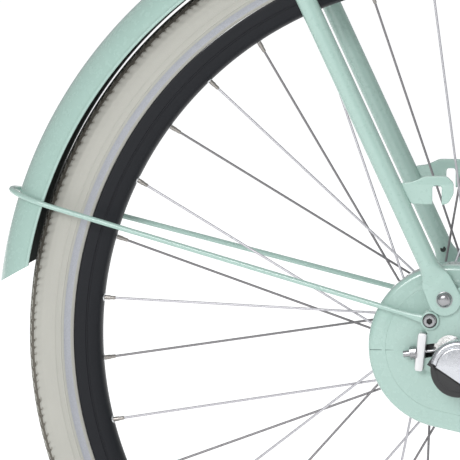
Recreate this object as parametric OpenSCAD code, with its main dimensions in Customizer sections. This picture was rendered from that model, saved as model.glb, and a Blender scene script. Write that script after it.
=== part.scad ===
// Adult tricycle: two steered wheels in front, one chain-driven wheel behind.
// Millimetres. +X forward, +Y left, +Z up; the origin is on the ground under the middle.

/* [Rear wheel] */
// Outer radius of the rear tyre
rear_r = 355; // [345:1:365]
// Width of the rear tyre
rear_tyre_w = 42; // [38:1:44]
// Width of both rims across the flanges
rim_w = 26; // [24:0.5:28]
// Number of rear spokes, a multiple of four
rear_spoke_count = 36; // [28:4:36]
// Radius of every spoke
spoke_r = 1; // [0.9:0.1:1.2]

/* [Front wheels] */
// Outer radius of the front tyres
front_r = 250; // [240:1:255]
// Width of the front tyres
front_tyre_w = 47; // [40:1:48]
// Number of front spokes, a multiple of four
front_spoke_count = 28; // [20:4:32]
// Distance between the two front wheel planes
track = 600; // [590:2:640]

/* [Frame] */
// Distance from the rear axle to the front axles along X
wheelbase = 1050; // [1030:5:1100]
// Distance of the cranks' axle ahead of the rear axle
bb_ahead = 475; // [470:1:482]
// Drop of the cranks' axle below the rear axle
bb_drop = 65; // [60:1:70]
// Angle of the seat tube from the ground
seat_angle = 69; // [68:0.5:70]
// Length of the seat tube above the cranks' axle
seat_tube_len = 470; // [460:5:500]
// Angle of the steering axes from upright
king_tilt = 18; // [17:0.5:19]
// Outer radius of the main tube
main_tube_r = 19; // [17:0.5:20]

/* [Steering] */
// Distance of each kingpin inboard of its wheel plane
king_offset = 65; // [63:1:70]
// Length of the steering arms, the same on all three
arm_len = 90; // [80:1:95]
// Radius of the kingpins
kingpin_r = 8; // [7:0.5:9]
// Radius of the steering column
column_r = 12.7; // [12:0.1:14]
// Running clearance on every shaft and pin
run_gap = 0.05; // [0.02:0.01:0.1]

/* [Drive] */
// Teeth on the chainring
ring_teeth = 44; // [44:1:44]
// Teeth on the rear sprocket
cog_teeth = 20; // [20:1:20]
// Distance of the chain from the middle plane
chain_line = 47.5; // [47:0.5:48]
// Length of the cranks
crank_len = 170; // [160:1:175]
// Outer radius of the chain case around the rear sprocket
case_rear_r = 67.5; // [64:0.5:70]
// Outer radius of the chain case around the chainring
case_front_r = 108; // [104:1:112]

/* [Guards and rack] */
// Radius of the rear mudguard over its crown
guard_r = 381.5; // [376:0.5:384]
// Width of the rear mudguard
guard_w = 55; // [54:1:58]
// Angle at which the rear mudguard ends behind the wheel
guard_end = 173.5; // [165:0.5:178]
// Radius of the rack's tubular legs
leg_r = 8; // [7:0.5:9]
// Lean of the rack's legs from upright
leg_lean = 24.95; // [23:0.5:27]
// Height of the rack's legs above the rear axle
leg_top = 398; // [394:1:420]

/* [Hidden] */
$fn = 64;
eps = 0.2;
pitch = 12.7;

rear_x = -(wheelbase + front_r - guard_r * cos(180 - guard_end)) / 2;
front_x = rear_x + wheelbase;
bb = [rear_x + bb_ahead, 0, rear_r - bb_drop];
seat_dir = [-cos(seat_angle), 0, sin(seat_angle)];
king_y = track / 2 - king_offset;

sheet = 1.2;
drop_in = 66;
drop_out = 72;
case_face = -64.7;
case_split = -54;
case_back = -36.8;
stay_r = 9;
seat_stay_r = 8;
bb_shell_r = 20;
bb_half = 35;
head_r = 18;
head_low = 200;
head_high = 460;
beam_s = 110;
beam_r = 19;
sleeve_low = 60;
sleeve_high = 160;
sleeve_r = 17;
arm_s = 182;
arm_t = 12;
arm_bolt_r = 4;
eye_r = 10;
post_r = 13.6;
seat_tube_r = 16;
axle_r = 5;
crank_axle_r = 8.5;
crank_y = 70;
crank_t = 14;
pedal_w = 90;
bar_r = 11.1;
slot_tilt = 7.5;
slot_half = 5.5;
rack_bolt = [-4, 40.2];
stay_bolt = [-16, 22.7];
stay_angle = 162;
stay_eye_r = 7.7;
rail_r = 6;
rail_z = leg_top + 13.5;
leg_lobe_r = 13.4;
leg_y = 74;
shift_c = [9, -15];
shift_r = 24;

ring_r = pitch / (2 * sin(180 / ring_teeth));
cog_r = pitch / (2 * sin(180 / cog_teeth));
line_tilt = atan2(-bb_drop, bb_ahead);

// The upper and lower ends of the right and left tubes, in the rear axle's frame
stay_rear = [60, drop_in + 3, -8];
stay_front = [bb_ahead - 15, 26.5, 3 - bb_drop];
seat_stay_low = [36, leg_y, 50];
lug_d = seat_tube_len - 30;
lug = bb + lug_d * seat_dir - [rear_x, 0, rear_r];
seat_stay_top = [lug.x, 30, lug.z];

bar_mid = king_pt(772, 50, 0);
bar_pts = [bar_mid, bar_mid + [0, 50, 0], bar_mid + [-29, 170, 20],
           bar_mid + [-69, 240, 22], bar_mid + [-204, 300, 8]];

// ---- Shared shapes ----

// A point in the steering frame: s up the kingpin's axis, t forward of it, y across
function king_pt(s, t, y) = [front_x - s * sin(king_tilt) + t * cos(king_tilt), y,
                             front_r + s * cos(king_tilt) + t * sin(king_tilt)];
function polar(r, a) = [r * cos(a), r * sin(a)];
function mix(a, b, k) = a + (b - a) * k;
function flip(p) = [p.x, -p.y, p.z];

module rod(a, b, r) {
    d = b - a;
    translate(a) rotate([0, acos(d.z / norm(d)), atan2(d.y, d.x)]) cylinder(h = norm(d), r = r);
}
module tube(a, b, r, wall) {
    step = (b - a) / norm(b - a);
    difference() {
        rod(a, b, r);
        rod(a - step, b + step, r - wall);
    }
}
module bent_rod(pts, r, swell = 0.05) {
    for (i = [1:len(pts) - 1]) rod(pts[i - 1], pts[i], r);
    for (i = [1:len(pts) - 2]) {
        back = pts[i] - pts[i - 1];
        on = pts[i + 1] - pts[i];
        way = back / norm(back) + on / norm(on);
        translate(pts[i]) rotate([0, acos(way.z / norm(way)), atan2(way.y, way.x)])
            sphere(r = r + swell);
    }
}
// A level loop of rod with rounded corners, from x = back to x = front
module rod_loop(back, front, half, z, bend, r) {
    for (side = [-1, 1]) rod([back + bend, side * half, z], [front - bend, side * half, z], r);
    for (x = [back, front]) rod([x, bend - half, z], [x, half - bend, z], r);
    for (x = [back + bend, front - bend], side = [-1, 1])
        translate([x, side * (half - bend), z])
            mirror([x < 0 ? 1 : 0, 0, 0]) mirror([0, side < 0 ? 1 : 0, 0])
                rotate_extrude(angle = 90) translate([bend, 0]) circle(r = r);
}
// A flat outline in the X-Z plane, filling y from low to high
module slab(low, high) {
    translate([0, high, 0]) rotate([90, 0, 0]) linear_extrude(high - low) children();
}
module disc(r, low, high, x = 0, z = 0) {
    slab(low, high) translate([x, z]) circle(r = r);
}
module at_rear() { translate([rear_x, 0, rear_r]) children(); }
module at_kingpin(y) { translate([front_x, y, front_r]) rotate([0, -king_tilt, 0]) children(); }
module at_bb() { translate(bb) children(); }
module both_sides() {
    children();
    mirror([0, 1, 0]) children();
}
// Outline of a belt of the given radii round the rear axle and the cranks' axle
module belt(r_rear, r_front) {
    c = [bb_ahead, -bb_drop];
    open = asin((r_front - r_rear) / norm(c));
    up = line_tilt + 90 + open;
    down = line_tilt - 90 - open;
    near = r_rear - 0.03;
    far = r_front - 0.03;
    circle(r = r_rear);
    translate(c) circle(r = r_front);
    polygon([polar(near, up), c + polar(far, up), c + polar(far, down), polar(near, down)]);
}

// ---- Wheels, each round its own axle along Y ----

module spin_ring(from = 0, sweep = 360) {
    rotate([90, 0, 0]) rotate([0, 0, from]) rotate_extrude(angle = sweep) children();
}
module tyre(outer_r, width, rim_r) {
    half = width / 2;
    core = outer_r - half;
    bead = rim_w / 2 - 1.6;
    wall = sqrt(half ^ 2 - (core - rim_r - 1.5) ^ 2) - 0.6;
    color("linen") spin_ring() {
        difference() {
            translate([core, 0]) circle(r = half);
            translate([core, 0]) circle(r = half - 3.2);
            translate([0, -half]) square([rim_r + 0.3, width]);
        }
        for (side = [0, 1]) mirror([0, side]) {
            translate([rim_r - 7, bead - 4]) square([8, 4]);
            translate([rim_r + 0.3, bead - 4]) square([2.6, wall - bead + 4]);
        }
    }
}
module rim(rim_r, depth) {
    flange = 1.6;
    color("dimgray") spin_ring() difference() {
        translate([rim_r - depth, -rim_w / 2]) square([depth, rim_w]);
        translate([rim_r - 7.2, flange - rim_w / 2]) square([8, rim_w - 2 * flange]);
        translate([rim_r - depth + 1.6, flange - rim_w / 2])
            square([depth - 10.4, rim_w - 2 * flange]);
    }
}
// Two-cross lacing: even spokes on the -Y flange, odd ones on the +Y flange
module spokes(count, first, flange_r, flange_y, rim_in) {
    step = 360 / count;
    for (k = [0:count - 1]) {
        side = k % 2 == 0 ? -1 : 1;
        lead = (k % 4 == 1 || k % 4 == 2) ? 1 : -1;
        out = (k % 4 < 2) ? 2.5 : -2.5;
        hub = polar(flange_r, first - step * k + 4 * lead * step);
        hole = polar(rim_in + 1, first - step * k);
        a = [hub.x, side * (flange_y + out), hub.y];
        b = [hole.x, side * 3, hole.y];
        rod(a, b, spoke_r);
        rod(b, mix(b, a, 13 / norm(b - a)), 2);
        rod(a, [a.x, a.y - side * out * 1.9, a.z], spoke_r);
        translate(a) sphere(r = spoke_r, $fn = 24);
    }
}
// A curved mudguard with rolled edges, over the angles from first to last
module guard(crown_r, width, first, last) {
    edge = width / 2;
    ring = edge + 0.8;
    core = crown_r - ring;
    low = core + 6.8;
    spin_ring(first, last - first) {
        intersection() {
            difference() {
                translate([core, 0]) circle(r = ring);
                translate([core, 0]) circle(r = ring - sheet);
            }
            translate([low, -edge - 2]) square([ring, width + 4]);
        }
        for (side = [-1, 1]) translate([low, side * (edge - 0.4)]) circle(r = 1.6);
    }
}
// A wire hoop over a mudguard at one angle, down to the rim of an eye on each side
module guard_wire(crown_r, width, angle, eye, eye_r, eye_low, eye_high) {
    wire = 2.25;
    bow = width / 2 + 0.8 + wire;
    core = crown_r - width / 2 - 0.8;
    c = polar(core, angle);
    translate([c.x, 0, c.y]) rotate([0, 90 - angle, 0]) rotate([90, 0, 90])
        rotate_extrude(angle = 180) translate([bow, 0]) circle(r = wire);
    foot = eye + eye_r * (c - eye) / norm(c - eye);
    for (end = [[-1, eye_low], [1, eye_high]])
        rod([c.x, end[0] * bow, c.y], [foot.x, end[1], foot.y], wire - 0.1);
}
module front_wheel_place(side) {
    translate([front_x, 0, front_r]) mirror([0, side < 0 ? 1 : 0, 0])
        translate([0, track / 2, 0]) children();
}

module rear_tyre() { at_rear() tyre(rear_r, rear_tyre_w, rear_r - 38.6); }
module rear_rim() { at_rear() rim(rear_r - 38.6, 22.2); }
module rear_spokes() {
    color("silver") at_rear() spokes(rear_spoke_count, 174, 31, 31.5, rear_r - 60.8);
}
module rear_hub() {
    color("silver") at_rear() spin_ring() difference() {
        union() {
            translate([0, -33]) square([27, 66]);
            for (side = [-1, 1]) translate([0, side * 31.5 - 1.5]) square([36, 3]);
            translate([0, -36]) square([17, 72]);
        }
        translate([0, -60]) square([axle_r + run_gap, 120]);
        translate([0, -24]) square([23, 48]);
    }
}
module front_tyre(side) { front_wheel_place(side) tyre(front_r, front_tyre_w, front_r - 39); }
module front_rim(side) { front_wheel_place(side) rim(front_r - 39, 18); }
module front_hub(side) {
    color("silver") front_wheel_place(side) {
        spin_ring() difference() {
            union() {
                translate([0, -31]) square([15, 62]);
                for (end = [-1, 1]) translate([0, end * 25 - 1.5]) square([28, 3]);
            }
            translate([0, -60]) square([kingpin_r + run_gap, 120]);
        }
        spokes(front_spoke_count, 90, 24, 25, front_r - 57);
    }
}

// ---- Frame ----

module seat_line(from, to, r) { rod(bb + from * seat_dir, bb + to * seat_dir, r); }
module chain_stay_line(r) { rod(stay_rear, stay_front, r); }
module main_line(r) { rod(bb, king_pt(250, 0, 0), r); }

module head_tube() {
    color("mediumaquamarine") at_kingpin(0) difference() {
        translate([0, 0, head_low]) cylinder(h = head_high - head_low, r = head_r);
        translate([0, 0, head_low - 1]) cylinder(h = head_high - head_low + 2, r = head_r - 2);
    }
}
module main_tube() {
    color("mediumaquamarine") difference() {
        main_line(main_tube_r);
        main_line(main_tube_r - 2);
        at_kingpin(0) translate([0, 0, head_low]) cylinder(h = 260, r = head_r - eps);
        at_bb() disc(bb_shell_r - eps, -bb_half, bb_half);
        seat_line(0, 60, seat_tube_r - eps);
    }
}
module keel_tube() {
    far = king_pt(beam_s, 0, 0);
    color("mediumaquamarine") difference() {
        rod(bb, far, 14);
        rod(bb, far, 12.4);
        main_line(main_tube_r - eps);
        at_bb() disc(bb_shell_r - eps, -bb_half, bb_half);
        rod(king_pt(beam_s, 0, -40), king_pt(beam_s, 0, 40), beam_r - eps);
    }
}
module seat_tube() {
    color("mediumaquamarine") difference() {
        union() {
            seat_line(0, seat_tube_len, seat_tube_r);
            at_rear() rod(flip(seat_stay_top), seat_stay_top, 10);
        }
        seat_line(-1, seat_tube_len + 1, post_r + run_gap);
        at_bb() disc(bb_shell_r - eps, -bb_half, bb_half);
    }
}
module bottom_bracket_shell() {
    color("mediumaquamarine") at_bb() difference() {
        disc(bb_shell_r, -bb_half, bb_half);
        disc(17, -bb_half - 1, bb_half + 1);
    }
}
module chain_stays() {
    color("mediumaquamarine") at_rear() both_sides() difference() {
        chain_stay_line(stay_r);
        chain_stay_line(stay_r - 1.5);
        disc(bb_shell_r - eps, -bb_half, bb_half, bb_ahead, -bb_drop);
        disc(bb_shell_r + eps, bb_half - 1, bb_half + 6, bb_ahead, -bb_drop);
    }
}
module seat_stays() {
    color("mediumaquamarine") at_rear() both_sides() difference() {
        rod(seat_stay_low, seat_stay_top, seat_stay_r);
        slab(40, eps - case_face + 0.9) belt(case_rear_r + 2 * eps, case_front_r + 2 * eps);
        rod(flip(seat_stay_top), seat_stay_top, 10 - eps);
    }
}
module slot_frame() { rotate(slot_tilt) children(); }
module dropout_outline() {
    difference() {
        union() {
            translate(rack_bolt) circle(r = 11);
            translate(stay_bolt) circle(r = 8);
            polygon([[-14, 36], [4, 48], [30, 62], [46, 58], [30, 26], [44, 6], [72, 2],
                     [72, -20], [40, -24], [10, -28], [-12.5, -22], [-22, -16.6],
                     [-18.2, 12], [-23.6, 21]]);
        }
        slot_frame() translate([-30, -slot_half]) square([30, 2 * slot_half]);
        circle(r = slot_half);
        translate(rack_bolt) circle(r = 3 + run_gap);
        translate(stay_bolt) circle(r = 2.5 + run_gap);
    }
}
module dropouts() {
    color("mediumaquamarine") at_rear() both_sides() slab(drop_in, drop_out) dropout_outline();
}
module cross_beam() {
    color("mediumaquamarine") difference() {
        tube(king_pt(beam_s, 0, -king_y), king_pt(beam_s, 0, king_y), beam_r, 2);
        for (side = [-1, 1]) at_kingpin(side * king_y) cylinder(h = 200, r = sleeve_r - eps);
    }
}
module beam_struts() {
    color("mediumaquamarine") both_sides() difference() {
        tube(king_pt(beam_s, 0, 90), king_pt(330, 0, 10), 9, 1.6);
        rod(king_pt(beam_s, 0, 40), king_pt(beam_s, 0, 140), beam_r - eps);
        at_kingpin(0) translate([0, 0, head_low]) cylinder(h = 260, r = head_r - eps);
    }
}
module kingpin_sleeves() {
    color("mediumaquamarine") for (side = [-1, 1]) at_kingpin(side * king_y) difference() {
        translate([0, 0, sleeve_low]) cylinder(h = sleeve_high - sleeve_low, r = sleeve_r);
        translate([0, 0, sleeve_low - 1]) cylinder(h = 102, r = kingpin_r + 4);
    }
}
// A pressed-in bush or cup: a plain sleeve with a flange outside the tube's mouth
module cup(low, bore, outer, reach, flange) {
    difference() {
        union() {
            translate([0, 0, low]) cylinder(h = reach, r = outer);
            translate([0, 0, low - 5]) cylinder(h = 5, r = flange);
        }
        translate([0, 0, low - 6]) cylinder(h = reach + 7, r = bore + run_gap);
    }
}
module bearing_cups() {
    color("silver") {
        at_kingpin(0) {
            cup(head_low, column_r, head_r - 2, 14, head_r + 2);
            translate([0, 0, head_low + head_high]) mirror([0, 0, 1])
                cup(head_low, column_r, head_r - 2, 14, head_r + 2);
        }
        at_bb() both_sides() rotate([90, 0, 0]) cup(-bb_half, crank_axle_r, 17, 14, bb_shell_r);
        for (side = [-1, 1], low = [sleeve_low, sleeve_high - 22]) at_kingpin(side * king_y)
            difference() {
                translate([0, 0, low]) cylinder(h = 22, r = kingpin_r + 4);
                translate([0, 0, low - 1]) cylinder(h = 24, r = kingpin_r + run_gap);
            }
    }
}
module seat_clamp() {
    color("silver") difference() {
        union() {
            seat_line(seat_tube_len - 14, seat_tube_len + 2, seat_tube_r + 3);
            translate(bb + (seat_tube_len - 6) * seat_dir) translate([-24, -12, -5])
                cube([10, 24, 10]);
        }
        seat_line(seat_tube_len - 20, seat_tube_len + 0.5, seat_tube_r);
        seat_line(seat_tube_len - 20, seat_tube_len + 10, post_r + 0.4);
    }
}

// ---- Rear axle, tensioners, brake arm ----

module rear_axle() {
    color("silver") at_rear() {
        disc(axle_r, -92, 86);
        disc(13, -drop_in, -51);
        disc(12, 48, drop_in);
    }
}
module nut(across, low, high, bore) {
    slab(low, high) difference() {
        circle(r = across / sqrt(3), $fn = 6);
        circle(r = bore);
    }
}
module rear_axle_nuts() {
    color("silver") at_rear() both_sides() {
        slab(drop_out, drop_out + 2) difference() {
            circle(r = 11);
            circle(r = axle_r);
        }
        nut(15, drop_out + 2, drop_out + 11, axle_r);
    }
}
module chain_tensioners() {
    plate_x = -20.2;
    color("silver") at_rear() both_sides() rotate([0, -slot_tilt, 0]) {
        translate([plate_x - 7, 66, -16]) cube([7, 10, 32]);
        rod([-38, 73.4, 0], [-11.6, 73.4, 0], 1.3);
        rod([-38, 73.4, 0], [plate_x - 3, 73.4, 0], 2.8);
        translate([plate_x - 7, 73.4, 0]) rotate([0, -90, 0])
            cylinder(h = 5.5, r = 5.8, $fn = 6);
    }
}
module brake_arm() {
    color("silver") at_rear() {
        slab(44.6, 48) difference() {
            union() {
                circle(r = 19);
                polygon([polar(19, 78), [156, -12], [156, -28], polar(19, -96)]);
                translate([156, -20]) circle(r = 8);
            }
            circle(r = axle_r);
        }
        rod([156, 46, -20], [156, 56, -20], 4);
    }
}

// ---- Chain case, chain and its wheels ----

module case_cuts() {
    disc(17, -100, -20, bb_ahead, -bb_drop);
    mirror([0, 1, 0]) chain_stay_line(stay_r + 1.5);
    slab(-100, case_back + 1) difference() {
        belt(case_rear_r - 46, 20);
        translate([190, -200]) square([400, 400]);
    }
}
module chain_case_outer() {
    color("mediumaquamarine") at_rear() difference() {
        union() {
            slab(case_face, case_split) belt(case_rear_r, case_front_r);
            slab(case_face - 0.9, case_face) difference() {
                belt(case_rear_r - 13, case_front_r - 13);
                translate([90, -300]) square([600, 600]);
            }
        }
        slab(case_face + sheet, case_split + 1) belt(case_rear_r - sheet, case_front_r - sheet);
        case_cuts();
    }
}
module chain_case_inner() {
    color("mediumaquamarine") at_rear() difference() {
        union() {
            slab(case_split + 0.1, case_back) difference() {
                belt(case_rear_r, case_front_r);
                belt(case_rear_r - sheet, case_front_r - sheet);
            }
            slab(case_back - sheet, case_back) difference() {
                belt(case_rear_r - eps, case_front_r - eps);
                difference() {
                    belt(case_rear_r - 18, case_front_r - 18);
                    translate([bb_ahead - 96, -400]) square([400, 800]);
                }
            }
        }
        mirror([0, 1, 0]) chain_stay_line(stay_r + 1.5);
        disc(bb_shell_r, -60, -20, bb_ahead, -bb_drop);
    }
}
// Link centres: on each wheel at the tooth pitch, evenly between them on the two runs
ring_side = floor((90 + asin((ring_r - cog_r) / norm([bb_ahead, bb_drop])))
                  * ring_teeth / 360);
cog_side = floor((90 - asin((ring_r - cog_r) / norm([bb_ahead, bb_drop])))
                 * cog_teeth / 360);
function ring_pin(k) = [bb_ahead, -bb_drop] + polar(ring_r, line_tilt + 360 / ring_teeth * k);
function cog_pin(k) = polar(cog_r, line_tilt + 180 + 360 / cog_teeth * k);
run_links = round(norm(ring_pin(ring_side) - cog_pin(-cog_side)) / pitch);
link_pins = concat(
    [for (k = [-ring_side:ring_side]) ring_pin(k)],
    [for (i = [1:run_links - 1]) mix(ring_pin(ring_side), cog_pin(-cog_side), i / run_links)],
    [for (k = [-cog_side:cog_side]) cog_pin(k)],
    [for (i = [1:run_links - 1]) mix(cog_pin(cog_side), ring_pin(-ring_side), i / run_links)]);
module chain() {
    color("slategray") at_rear() {
        for (y = [-chain_line - 4, -chain_line + 2.6]) slab(y, y + 1.4) difference() {
            belt(cog_r + 3.6, ring_r + 3.6);
            belt(cog_r - 3.6, ring_r - 3.6);
        }
        for (p = link_pins) disc(3.9, -chain_line - 3, -chain_line + 3, p.x, p.y);
    }
}
module toothed(teeth, r, y) {
    slab(-y - 1, -y + 1) difference() {
        circle(r = r + 2.2);
        for (k = [0:teeth - 1]) rotate(360 / teeth * k) translate([r, 0]) circle(r = 5);
    }
}
module rear_sprocket() {
    color("silver") at_rear() difference() {
        union() {
            rotate([0, -line_tilt - 180, 0]) toothed(cog_teeth, cog_r, chain_line);
            disc(15, -chain_line - 3, -36.5);
        }
        disc(axle_r + run_gap, -60, -30);
    }
}
module chainring() {
    color("silver") at_bb() difference() {
        union() {
            rotate([0, -line_tilt, 0]) toothed(ring_teeth, ring_r, chain_line);
            disc(14, -crank_y, -chain_line + 1);
        }
        disc(crank_axle_r, -100, 0);
        for (k = [0:4]) rotate([0, 72 * k, 0]) disc(17, -60, -40, 0, 54);
    }
}
module crank_axle() { color("silver") at_bb() disc(crank_axle_r, -84, 84); }
// Right crank level and forward, left crank level and back
module crank(side) {
    color("silver") at_bb() mirror([0, side < 0 ? 1 : 0, 0]) difference() {
        union() {
            disc(15, crank_y, crank_y + crank_t);
            disc(11, crank_y, crank_y + crank_t, -side * crank_len, 0);
            slab(crank_y + 1, crank_y + crank_t - 1)
                polygon([[0, 12], [-side * crank_len, 9], [-side * crank_len, -9], [0, -12]]);
            disc(6, crank_y + crank_t - 1, crank_y + crank_t + pedal_w + 10,
                 -side * crank_len, 0);
        }
        disc(crank_axle_r, crank_y - 1, crank_y + crank_t + 1);
    }
}
module pedal(side) {
    low = crank_y + crank_t + 6;
    color("dimgray") at_bb() mirror([0, side < 0 ? 1 : 0, 0])
        translate([-side * crank_len, 0, 0]) difference() {
            translate([-42, low, -13]) cube([84, pedal_w, 26]);
            for (x = [-1, 1]) translate([x * 24 - 11, low + 12, -14])
                cube([22, pedal_w - 24, 28]);
            disc(6 + run_gap, low - 1, low + pedal_w + 1);
        }
}

// ---- Hub gear box on the right axle end ----

module shift_half(grow, above) {
    intersection() {
        translate(shift_c) circle(r = shift_r + grow);
        translate([-11.6, -11.4]) rotate(-34) translate([-80, above ? 0 : -80])
            square([160, 80]);
    }
}
module shift_cavity() {
    disc(12, -84.5, -70);
    disc(axle_r, -94, -70);
}
module shift_cover() {
    color("silver") at_rear() difference() {
        union() {
            slab(-97, -76.2) shift_half(0, true);
            slab(-99, -97) shift_half(-5, true);
        }
        shift_cavity();
    }
}
module shift_base() {
    color("dimgray") at_rear() difference() {
        union() {
            slab(-95, -78) shift_half(-1, false);
            slab(-98, -95) shift_half(-6, false);
        }
        shift_cavity();
    }
}

// ---- Rack and guards ----

module leg_frame() { translate(rack_bolt) rotate(leg_lean) children(); }
module hook_outline() {
    difference() {
        polygon([[-40.1, 135.5], [-30.1, 136.8], [-20, 141.5], [-2.6, 141.5], [3.2, 136],
                 [3.2, 126.8], [-1, 119.3], [-6, 117.7], [-15.1, 118.3], [-31.7, 118.5]]);
        translate([-10.4, 130.1]) circle(r = 3.8);
        translate([-14.2, 112]) square([7.6, 18.1]);
    }
}
module rack_legs() {
    foot = [rack_bolt.x - 36 * tan(leg_lean), leg_y, rack_bolt.y + 36];
    rise = rail_z - 4 - rack_bolt.y;
    head = [rack_bolt.x - rise * tan(leg_lean), leg_y, rack_bolt.y + rise];
    color("mediumaquamarine") at_rear() both_sides() {
        difference() {
            rod(foot, head, leg_r);
            rod([head.x - 30, leg_y, rail_z], [head.x + 30, leg_y, rail_z], rail_r);
        }
        slab(drop_out, drop_out + 4) difference() {
            union() {
                leg_frame() circle(r = leg_lobe_r);
                leg_frame() translate([-11, 0]) square([22, 48]);
                hook_outline();
            }
            translate(rack_bolt) circle(r = 3 + run_gap);
            leg_frame() translate([0, 29.1]) circle(r = 2.5);
        }
    }
}
module rack_platform() {
    back = -320;
    front = 170;
    color("mediumaquamarine") at_rear() {
        rod_loop(back, front, leg_y, rail_z, 32, rail_r);
        both_sides() rod([front, 30, rail_z], [lug.x - 4, 21, lug.z + 6], rail_r - 1);
        for (x = [-230:90:130])
            rod([x, -leg_y + 2, rail_z], [x, leg_y - 2, rail_z], rail_r - 1.5);
    }
}
// A round-headed bolt through the plates, its head outermost
module plate_bolt(at, shank, head_r, seat) {
    translate([at.x, 0, at.y]) {
        disc(shank, drop_in, seat + 1);
        disc(head_r + 1.6, seat, seat + 1);
        disc(head_r, seat + 1, seat + 4.5);
    }
}
module rack_bolts() {
    color("silver") at_rear() both_sides() {
        plate_bolt(rack_bolt, 3, 6, drop_out + 4);
        plate_bolt(stay_bolt, 2.5, 5.2, drop_out + 3);
    }
}
module rear_mudguard() {
    tip = polar(guard_r, guard_end);
    color("mediumaquamarine") {
        at_rear() difference() {
            guard(guard_r, guard_w, 2, guard_end + 1);
            translate([tip.x, 0, tip.y]) rotate([0, -32.2, 0]) translate([-60, -60, -80])
                cube([120, 120, 80]);
        }
        rod(bb + 265 * seat_dir + [-14, 0, -5], bb + 265 * seat_dir + [-38.5, 0, -14], 6);
    }
}
module mudguard_stay() {
    color("mediumaquamarine") at_rear() {
        guard_wire(guard_r, guard_w, stay_angle, stay_bolt, stay_eye_r - 1,
                   -drop_out - 2.4, drop_out + 2.4);
        both_sides() slab(drop_out, drop_out + 3) difference() {
            translate(stay_bolt) circle(r = stay_eye_r);
            translate(stay_bolt) circle(r = 2.5 + run_gap);
        }
    }
}
module front_mudguard(side) {
    color("mediumaquamarine") front_wheel_place(side) {
        guard(front_r + 18, front_tyre_w + 14, 20, 200);
        for (angle = [65, 165])
            guard_wire(front_r + 18, front_tyre_w + 14, angle, [0, 0], 11, -43.2, 35.6);
        for (y = [-45, 33.8]) slab(y, y + 3) difference() {
            circle(r = 14);
            circle(r = kingpin_r);
        }
    }
}

// ---- Steering ----

module steering_column() {
    color("silver") at_kingpin(0) {
        difference() {
            union() {
                translate([0, 0, arm_s - 9]) cylinder(h = 700 - arm_s + 9, r = column_r);
                translate([0, 0, arm_s - 9]) cylinder(h = 18, r = column_r + 5);
                translate([-arm_len, -8, arm_s - arm_t / 2]) cube([arm_len, 16, arm_t]);
                translate([-arm_len, 0, arm_s - arm_t / 2]) cylinder(h = arm_t, r = eye_r);
                translate([0, 0, head_high + 5.5]) cylinder(h = 6, r = column_r + 5);
            }
            translate([0, 0, 300]) cylinder(h = 500, r = bar_r + 0.1);
        }
        translate([-arm_len, 0, arm_s - 20]) cylinder(h = 40, r = arm_bolt_r);
    }
}
module stem() {
    top = king_pt(750, 0, 0);
    color("silver") difference() {
        union() {
            at_kingpin(0) translate([0, 0, 600]) cylinder(h = 101, r = bar_r);
            at_kingpin(0) translate([0, 0, 700]) cylinder(h = 62, r = 14);
            rod(top, bar_mid, 13);
            rod(bar_mid + [0, -22, 0], bar_mid + [0, 22, 0], bar_r + 6);
        }
        rod(bar_mid + [0, -30, 0], bar_mid + [0, 30, 0], bar_r);
    }
}
module handlebar() {
    half = [for (k = [1:4]) bar_pts[k]];
    color("silver") bent_rod(concat([for (k = [3:-1:0]) flip(half[k])], half), bar_r, 0.4);
}
// A sleeve with a collar, on the bar between two of its points, bored from one end
module bar_sleeve(a, b, from, to, r, bore, bore_to) {
    step = (b - a) / norm(b - a);
    difference() {
        union() {
            rod(a + from * step, a + to * step, r);
            rod(a + (from - 4) * step, a + (from + 3) * step, r + 4);
        }
        rod(a + (from - 10) * step, a + bore_to * step, bore);
    }
}
module grips() {
    bar_end = norm(bar_pts[4] - bar_pts[3]);
    color("dimgray") both_sides()
        bar_sleeve(bar_pts[3], bar_pts[4], 22, bar_end + 3, 16, bar_r, bar_end);
}
module shift_grip() {
    color("dimgray") bar_sleeve(flip(bar_pts[2]), flip(bar_pts[3]), 26, 70, 17,
                                bar_r + run_gap, 80);
}
bell_at = mix(bar_pts[1], bar_pts[2], 0.45);
module bell() {
    color("silver") {
        difference() {
            union() {
                translate(bell_at + [0, 0, 8]) cylinder(h = 22, r = 9);
                translate(bell_at + [0, 0, 30]) cylinder(h = 6, r = 27);
                intersection() {
                    translate(bell_at + [0, 0, 12]) sphere(r = 36);
                    translate(bell_at + [-40, -40, 36]) cube([80, 80, 20]);
                }
            }
            rod(bar_pts[1], bar_pts[2], bar_r);
        }
        translate(bell_at + [-20, 0, 20]) cylinder(h = 10, r = 2.5);
    }
}
module bell_lever() {
    color("silver") translate(bell_at + [-20, 0, 22]) difference() {
        union() {
            cylinder(h = 5, r = 6);
            translate([-30, -5, 0]) cube([30, 10, 3]);
            translate([-34, 0, 0]) cylinder(h = 6, r = 8);
        }
        translate([0, 0, -1]) cylinder(h = 8, r = 2.5 + run_gap);
    }
}
module knuckle(side) {
    hub_y = side * king_y;
    color("mediumaquamarine") {
        at_kingpin(hub_y) {
            cylinder(h = arm_s + 9, r = kingpin_r);
            translate([0, 0, -20]) cylinder(h = 79.4, r = 15);
            translate([0, 0, sleeve_high + 0.6])
                cylinder(h = arm_s + 8 - sleeve_high, r = 14);
            translate([-arm_len, -8, arm_s - arm_t / 2]) cube([arm_len, 16, arm_t]);
            translate([-arm_len, 0, arm_s - arm_t / 2]) cylinder(h = arm_t, r = eye_r);
            translate([-arm_len, 0, arm_s - (side > 0 ? 6 : 20)])
                cylinder(h = 26, r = arm_bolt_r);
        }
        translate([front_x, 0, front_r]) {
            rod([0, hub_y, 0], [0, side * (track / 2 + 46), 0], kingpin_r);
            rod([0, hub_y, 0], [0, side * (track / 2 - 45), 0], 12);
            translate([0, side * (track / 2 + 41), 0])
                mirror([0, side < 0 ? 1 : 0, 0]) nut(19, -4, 4, kingpin_r - 1);
        }
    }
}
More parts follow.
